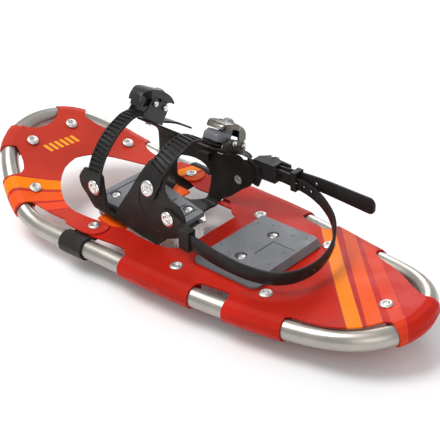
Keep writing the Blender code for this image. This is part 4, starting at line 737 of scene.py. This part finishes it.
def evenly(path, pitch):
    """Points at equal distances along a path."""
    lengths = path_lengths(path)
    count = max(int(round(lengths[-1] / pitch)), 2)
    out = []
    index = 0
    for step in range(count + 1):
        reach = lengths[-1] * step / count
        while index < len(path) - 2 and lengths[index + 1] < reach:
            index += 1
        share = (reach - lengths[index]) / (lengths[index + 1] - lengths[index])
        out.append(path[index].lerp(path[index + 1], share))
    return out


def strap(path, across_at, section_at):
    """Sweep a changing cross-section; both rules get the distance along and the point."""
    rings = []
    lengths = path_lengths(path)
    for index, point in enumerate(path):
        before = path[max(index - 1, 0)]
        after = path[min(index + 1, len(path) - 1)]
        run = (after - before).normalized()
        across = across_at(lengths[index], point)
        across = (across - run * across.dot(run)).normalized()
        out = run.cross(across)
        rings.append([point + across * side + out * rise for side, rise in section_at(lengths[index], point)])
    return loft(rings)


def buckle_matrix(kind):
    """Local X runs down the outer side of the foot, local Z out of the strap."""
    spec = BUCKLES[kind]
    turn = Matrix.Rotation(math.radians(spec["tilt"]), 4, "Y")
    scale = Matrix.Diagonal((BUCKLE_SCALE, spec["wide"], BUCKLE_SCALE, 1))
    return Matrix.Translation(spec["centre"]) @ turn @ scale


def ladder_path(kind):
    spec = LADDERS[kind]
    inside = [buckle_matrix(kind) @ Vector((x, 0, LADDER_LEVEL)) for x in spec["inside"]]
    lift = HARNESS_THICK / 2 + GAP + LADDER_THICK / 2
    wall = [on_left_wall(y, height, lift)[0] for y, height in spec["wall"]]
    free = [Vector(point) for point in spec["free"]]
    return wall + free + inside + [Vector(point) for point in spec["end"]]


def blend_between(value, low, high):
    share = min(max((value - low) / (high - low), 0.0), 1.0)
    return share * share * (3 - 2 * share)


def ladder_half_width(spec, reach, total):
    radius = spec["end_radius"]
    flange = spec["flange"] + (spec["wide"] - spec["flange"]) * blend_between(reach, 20.0, 32.0)
    half = min(flange, 2 * radius + (flange - 2 * radius) * blend_between(reach, radius, 20.0)) / 2
    if reach < radius:
        half = min(half, math.sqrt(max(radius ** 2 - (radius - reach - 0.3) ** 2, 1.0)))
    left = total - reach
    tip = 6.0
    half *= 1.0 - 0.35 * blend_between(reach, total - 30.0, total)
    if left < tip:
        half *= math.sqrt(max(1 - ((tip - left) / tip) ** 2, 0.06))
    return half


RAIL = 2.3                   # plain margin beside the ladder's slots
RAIL_TOP = 1.25


def tooth_height(spec, reach):
    """Top of the ladder between its rails: a slot and then a sloping rung in each pitch."""
    start, end = spec["teeth"]
    if reach < start or reach > end:
        return RAIL_TOP
    phase = ((reach - start) / TOOTH_PITCH) % 1.0
    if phase < 0.36:
        return -0.2
    return 0.85 + 0.85 * (1.0 - (phase - 0.36) / 0.64)


def build_ladder(kind, materials):
    """Ratchet strap with two plain margins and a row of slots and rungs between them."""
    spec = LADDERS[kind]
    path = evenly(smooth_path(ladder_path(kind), 16), 0.42)
    total = path_lengths(path)[-1]

    def section(reach, _):
        half = ladder_half_width(spec, reach, total)
        inner = max(half - RAIL, 0.5)
        edge = min(0.5, half * 0.2)
        top = tooth_height(spec, reach)
        return [(-half + edge, -1.0), (half - edge, -1.0), (half, -0.5), (half, RAIL_TOP - 0.5),
                (half - edge, RAIL_TOP), (inner, RAIL_TOP), (inner - 0.2, top), (-inner + 0.2, top),
                (-inner, RAIL_TOP), (-half + edge, RAIL_TOP), (-half, RAIL_TOP - 0.5), (-half, -0.5)]

    body = strap(path, lambda reach, point: Vector((0, 1, 0)), section)
    name = kind + "_ladder_detail"
    piece = add_piece(name, body, materials["strap"], "binding", [kind + "_ladder_strap"], 30)


def heel_strap_path():
    path = smooth_path(HEEL_PATH, 12)
    for step in range(1, 16):
        angle = math.pi * step / 16
        path.append(Vector((BUCKLE_BAR[0] - STRAP_HALF_TURN * math.cos(angle),
                            BUCKLE_BAR[1] + STRAP_HALF_TURN * math.sin(angle), HEEL_PATH[-1][2])))
    path.append(Vector((BUCKLE_BAR[0] + STRAP_HALF_TURN, BUCKLE_BAR[1], HEEL_PATH[-1][2])))
    return evenly(path + smooth_path(TAIL_PATH, 8), 1.1)


def heel_half_width(share, left):
    keys = ((0.0, 8.1), (0.07, 7.9), (0.26, 7.2), (0.36, 6.3), (0.72, 6.2), (1.0, 8.4))
    half = keys[-1][1]
    for (start, first), (end, second) in zip(keys, keys[1:]):
        if start <= share < end:
            half = first + (second - first) * (share - start) / (end - start)
            break
    if left < 6.0:
        half *= math.sqrt(max(1 - ((6.0 - left) / 6.0) ** 2 * 0.75, 0.1))
    return half


def build_heel_strap(materials):
    path = heel_strap_path()
    total = path_lengths(path)[-1]

    def across(_, point):
        tip = 0.18 * blend_between(-point.y, 110.0, 135.0) * blend_between(-point.z, -52.0, -44.0)
        return Vector((-tip * 0.3, -tip, 1.0))

    def section(reach, _):
        half = heel_half_width(reach / total, total - reach)
        deep = HEEL_THICK / 2
        edge = 0.75
        return [(half - edge, deep), (0, deep + 0.15), (-half + edge, deep), (-half + 0.2, deep - 0.25),
                (-half, deep - edge), (-half, -deep + edge), (-half + 0.2, -deep + 0.25), (-half + edge, -deep),
                (0, -deep - 0.15), (half - edge, -deep), (half - 0.2, -deep + 0.25), (half, -deep + edge),
                (half, deep - edge), (half - 0.2, deep - 0.25)]

    body = strap(path, across, section)
    holes = []
    for share in HEEL_HOLES:
        index = int(share * (len(path) - 1))
        face = (path[index + 1] - path[index]).cross(Vector((0, 0, 1))).normalized()
        holes.append(oval_pin(path[index], face, 2.2))
    holes.append(oval_pin(Vector((64.2, -98.0, 62.4)), Vector((1, 0, 0)), 2.0))
    body = cut(body, merged(holes))
    piece = add_piece("heel_strap_detail", body, materials["strap"], "heel_loop", ["heel_strap"], 35)


def oval_pin(centre, axis, radius):
    body = lathe(((0, -5), (radius, -5), (radius, 5), (0, 5)), 20)
    turn = Vector((0, 0, 1)).rotation_difference(axis).to_matrix().to_4x4()
    return moved(body, Matrix.Translation(centre) @ turn)


def arc_points(centre, radius, start, end, steps):
    out = []
    for step in range(steps + 1):
        angle = math.radians(start + (end - start) * step / steps)
        out.append((centre[0] + radius * math.cos(angle), centre[1] + radius * math.sin(angle)))
    return out


def side_profile(outline, low, high):
    """Solid with an X-Z outline between two values of Y."""
    return loft([[Vector((x, y, z)) for x, z in outline] for y in (low, high)])


def temporary_object(body):
    mesh = bpy.data.meshes.new("temporary")
    body.to_mesh(mesh)
    body.free()
    item = bpy.data.objects.new("temporary", mesh)
    bpy.context.scene.collection.objects.link(item)
    return item


def cut(base, tool):
    """Exact Boolean difference; both bodies are used up."""
    target = temporary_object(base)
    cutter = temporary_object(tool)
    step = target.modifiers.new("cut", "BOOLEAN")
    step.operation = "DIFFERENCE"
    step.solver = "EXACT"
    step.object = cutter
    view = bpy.context.evaluated_depsgraph_get()
    result = bpy.data.meshes.new_from_object(target.evaluated_get(view))
    out = bmesh.new()
    out.from_mesh(result)
    bpy.data.meshes.remove(result)
    for item in (target, cutter):
        mesh = item.data
        bpy.data.objects.remove(item, do_unlink=True)
        bpy.data.meshes.remove(mesh)
    return out


# ---- ratchet buckles ---------------------------------------------------------------------
def hinge_hole(x, level):
    body = lathe(((0, -20), (PIN_HOLE, -20), (PIN_HOLE, 20), (0, 20)), 20)
    turn = Matrix.Rotation(math.pi / 2, 4, "X")
    return moved(body, Matrix.Translation((x, 0, level)) @ turn)


def lever_width(spec, path, x):
    share = min(max((x - path[0].x) / 8.0, 0.0), 1.0)
    taper = min(max((x - 10.0) / 7.0, 0.0), 1.0)
    return 19.0 + 7.0 * math.sin(share * math.pi / 2) - spec["narrowing"] * taper


def height_on(path, x):
    """Height of the lever's middle surface at a distance along the buckle."""
    for first, second in zip(path, path[1:]):
        if first.x <= x <= second.x:
            return first.z + (second.z - first.z) * (x - first.x) / (second.x - first.x)
    return path[-1].z


def oval_outline(middle, long, wide, steps):
    points = []
    for step in range(steps):
        angle = 2 * math.pi * step / steps
        across, up = math.cos(angle), math.sin(angle)
        points.append((middle + long * math.copysign(abs(across) ** 0.72, across),
                       wide * math.copysign(abs(up) ** 0.72, up)))
    return points


def window_lip(path, outline):
    """Rounded bead round the lever's window, following the lever's curve."""
    rings = []
    count = len(outline)
    for index, (x, y) in enumerate(outline):
        before = Vector(outline[index - 1])
        after = Vector(outline[(index + 1) % count])
        run = (after - before).normalized()
        outward = Vector((run.y, -run.x, 0))
        centre = Vector((x, y, height_on(path, x) + 1.0))
        ring = []
        for side in range(10):
            angle = 2 * math.pi * side / 10
            ring.append(centre + outward * (1.1 * math.cos(angle)) + Vector((0, 0, 0.9 * math.sin(angle))))
        rings.append(ring)
    return loft(rings, closed=True)


def build_lever(kind, materials):
    spec = BUCKLES[kind]
    path = smooth_path([(x, 0, z) for x, z in spec["arc"]], 8)

    total = path_lengths(path)[-1]

    def section(reach, point):
        half = lever_width(spec, path, point.x) / 2
        end = min(reach, total - reach)
        foot = -1.2 - spec["skirt"] * min(end / 9.0, 1.0)
        return [(-half, foot), (-half + 1.5, foot), (-half + 1.5, -1.1), (half - 1.5, -1.1), (half - 1.5, foot),
                (half, foot), (half, 0.4), (half - 0.9, 1.2), (half * 0.6, 1.5), (0, 1.7), (-half * 0.6, 1.5),
                (-half + 0.9, 1.2), (-half, 0.4)]

    plate = strap(path, lambda reach, point: Vector((0, 1, 0)), section)
    outline = oval_outline(spec["button"], *WINDOW_HALF, 40)
    hole = loft([[Vector((x, y, z)) for x, y in outline] for z in (8.0, 44.0)])
    bodies = [cut(plate, hole), window_lip(path, oval_outline(spec["button"], *LIP_HALF, 60))]
    lug = arc_points((LEVER_PIN_X, spec["pins"]), 4.2, -150, 20, 12) + list(spec["lug"])
    for side in (-1, 1):
        low, high = sorted(side * face for face in LUG_SIDES)
        bodies.append(cut(side_profile(lug, low, high), hinge_hole(LEVER_PIN_X, spec["pins"])))
    body = moved(merged(bodies), buckle_matrix(kind))
    name = kind + "_buckle_lever"
    piece = add_piece(name + "_moulded", body, materials[kind + "_metal"], kind + "_lever", [name], 35)


def build_release(kind, materials):
    spec = BUCKLES[kind]
    outline = list(spec["pawl"]) + arc_points((PAWL_PIN_X, spec["pins"]), 4.0, *spec["pawl_turn"], 12)
    if kind == "instep":
        outline.append((6.0, 5.4))
    pawl = cut(side_profile(outline, -PAWL_HALF, PAWL_HALF), hinge_hole(PAWL_PIN_X, spec["pins"]))
    foot, top = spec["dome"]
    rise = top - foot
    profile = [(0, foot), (7.0, foot), (7.0, top - 0.42 * rise), (DOME_RADIUS, top - 0.30 * rise)]
    for step in range(8):
        angle = math.radians(10 * step + 10)
        profile.append((DOME_RADIUS * math.cos(angle), top - 0.30 * rise * (1 - math.sin(angle))))
    profile.append((0, top))
    dome = moved(lathe(profile, 48), Matrix.Translation((spec["button"], 0, 0)))
    name = kind + "_buckle_release"
    finish = materials["toe_metal"] if kind == "toe" else materials["button"]
    piece = add_piece(name + "_pawl", moved(pawl, buckle_matrix(kind)), finish, kind + "_release", [name], 35)
    soften(piece, 0.5)
    knob = moved(dome, buckle_matrix(kind))
    piece = add_piece(name + "_dome", knob, materials["button"], kind + "_release", (), 35)


# ---- moulded detail on the harness and the heel pad --------------------------------------
WING_RIDGES = (
    ((23.0, 85.0), (26.8, 76.0), (29.3, 63.0), (30.0, 50.2), (27.0, 40.4), (20.3, 31.8), (11.1, 26.4),
     (-4.0, 24.5)),
    ((-0.5, 90.0), (-1.8, 79.0), (-5.5, 70.0), (-12.0, 65.0)),
)
EAR_RIDGE = ((86.5, 57.0), (86.0, 47.0), (85.5, 36.0), (83.0, 24.0))


def build_ridge(name, points, radius, materials):
    """Half-round bead moulded on the outside of the left wall."""
    path = evenly(smooth_path([(0, y, height) for y, height in points], 6), 1.5)
    total = path_lengths(path)[-1]
    rings = []
    lengths = path_lengths(path)
    for index, point in enumerate(path):
        left = min(lengths[index], total - lengths[index])
        size = radius * min(1.0, 0.25 + left / 5.0)
        spot, facing = on_left_wall(point.y, point.z, HARNESS_THICK / 2 - 0.1)
        behind = path[max(index - 1, 0)]
        ahead = path[min(index + 1, len(path) - 1)]
        before = on_left_wall(behind.y, behind.z, 0)[0]
        after = on_left_wall(ahead.y, ahead.z, 0)[0]
        run = (after - before).normalized()
        side = run.cross(facing).normalized()
        ring = []
        for step in range(8):
            angle = math.pi * step / 8
            ring.append(spot + side * (1.5 * size * math.cos(angle)) + facing * (size * math.sin(angle)))
        rings.append(ring)
    piece = add_piece(name, loft(rings), materials["black"], "binding")


def build_harness_detail(materials):
    for number, points in enumerate(WING_RIDGES):
        build_ridge("wing_bead_" + str(number + 1), points, 0.9, materials)
    build_ridge("ear_bead", EAR_RIDGE, 1.0, materials)


PAD_TOP = 20.2
PAD_MARKS = ((-24, -52, 20), (2, -52, -15), (28, -54, 30), (-29, -66, -25), (33, -68, 10), (-28, -96, 35),
             (-22, -110, -10), (2, -108, 25), (30, -96, -30), (33, -110, 15), (-6, -66, 0))


def build_pad_marks(materials):
    """Small raised grip marks moulded on the heel pad."""
    bodies = []
    for x, y, turn in PAD_MARKS:
        profile = ((0, -0.2), (1.0, -0.2), (1.0, 0.3), (0.6, 0.55), (0, 0.6))
        body = lathe(profile, 16)
        moved(body, Matrix.Diagonal((2.0, 0.8, 1.0, 1.0)))
        moved(body, Matrix.Translation((x, y, PAD_TOP)) @ Matrix.Rotation(math.radians(turn), 4, "Z"))
        bodies.append(body)
    piece = add_piece("heel_pad_grip_marks", merged(bodies), materials["plate"], "frame")


WALL_RIVET_PROFILE = (
    (0, -2.0), (2.2, -2.0), (2.2, 0.1), (7.9, 0.1), (8.1, 0.35), (7.9, 0.9), (7.3, 1.5), (6.1, 1.95),
    (4.9, 2.05), (4.1, 1.9), (3.6, 1.4), (3.3, 0.9), (2.5, 0.75), (1.8, 0.95), (0.9, 1.1), (0, 1.15),
)
WALL_RIVETS = {
    "toe_ladder_rivet": (95.0, 45.0, "binding"),
    "instep_ladder_rivet": (15.0, 69.0, "binding"),
    "heel_bracket_rivet_left": (-11.5, 46.0, "heel_loop"),
}


def build_wall_rivets(materials):
    """Large dished rivets on the outside of the left wall."""
    for name, (y, height, body_name) in WALL_RIVETS.items():
        stack = HARNESS_THICK / 2 + GAP + LADDER_THICK + 0.35
        spot, facing = on_left_wall(y, height, stack)
        turn = Vector((0, 0, 1)).rotation_difference(facing).to_matrix().to_4x4()
        body = lathe(WALL_RIVET_PROFILE, 40)
        moved(body, Matrix.Translation(spot) @ turn)
        inner = lathe(((0, -1.2), (5.0, -1.2), (5.0, 0), (2.2, 0), (2.2, 4.0), (0, 4.0)), 24)
        back, _ = on_left_wall(y, height, -HARNESS_THICK / 2 - 0.3)
        moved(inner, Matrix.Translation(back) @ turn)
        piece = add_piece(name + "_dished", merged([body, inner]), materials["rivet"], body_name, [name])


# ---- stage, light and camera -------------------------------------------------------------
def build_stage():
    mesh = bpy.data.meshes.new("floor")
    reach = 6.0
    mesh.from_pydata([(-reach, -reach, 0), (reach, -reach, 0), (reach, reach, 0), (-reach, reach, 0)], [],
                     [(0, 1, 2, 3)])
    floor = bpy.data.objects.new("floor", mesh)
    bpy.context.scene.collection.objects.link(floor)
    surface = Surface("pale_floor", (0.86, 0.86, 0.86), 0.0, 0.6)
    mesh.materials.append(surface.material)


def area_light(name, place, target, size, power):
    lamp = bpy.data.lights.new(name, "AREA")
    lamp.shape = "DISK"
    lamp.size = size
    lamp.energy = power
    item = bpy.data.objects.new(name, lamp)
    item.location = place
    item.rotation_euler = (Vector(target) - Vector(place)).to_track_quat("-Z", "Y").to_euler()
    bpy.context.scene.collection.objects.link(item)


def build_light():
    sky = bpy.data.worlds.new("studio")
    bpy.context.scene.world = sky
    sky.use_nodes = True
    back = sky.node_tree.nodes["Background"]
    back.inputs["Color"].default_value = (0.96, 0.98, 1.0, 1.0)
    back.inputs["Strength"].default_value = 0.62
    target = (0.0, 0.0, 0.05)
    area_light("key", (-0.5, 0.6, 1.7), target, 1.0, 24.0)
    area_light("fill", (-0.9, -1.2, 0.9), target, 1.0, 5.0)
    area_light("rim", (1.3, 0.7, 0.8), target, 0.7, 6.0)
    bpy.context.scene.view_settings.view_transform = "Standard"


def build_camera():
    turn, rise, roll = CAMERA_TURN, CAMERA_RISE, CAMERA_ROLL
    back = Vector((math.sin(turn) * math.cos(rise), -math.cos(turn) * math.cos(rise), math.sin(rise)))
    right = Vector((math.cos(turn), math.sin(turn), 0.0))
    up = back.cross(right)
    rolled_right = right * math.cos(roll) + up * math.sin(roll)
    rolled_up = up * math.cos(roll) - right * math.sin(roll)
    data = bpy.data.cameras.new("camera")
    data.sensor_width = 36.0
    data.lens = CAMERA_LENS
    data.clip_start = 0.05
    camera = bpy.data.objects.new("camera", data)
    matrix = Matrix((rolled_right, rolled_up, back)).transposed().to_4x4()
    matrix.translation = Vector(CAMERA_PLACE) * MM
    camera.matrix_world = matrix
    bpy.context.scene.collection.objects.link(camera)
    bpy.context.scene.camera = camera


build_camera()
build_stage()
build_light()
MATERIALS = make_materials()
finish_cad_nodes(MATERIALS)
build_tube(MATERIALS)
build_deck_rivets(MATERIALS)
for strap_kind in LADDERS:
    build_ladder(strap_kind, MATERIALS)
    build_lever(strap_kind, MATERIALS)
    build_release(strap_kind, MATERIALS)
build_heel_strap(MATERIALS)
build_harness_detail(MATERIALS)
build_pad_marks(MATERIALS)
build_wall_rivets(MATERIALS)
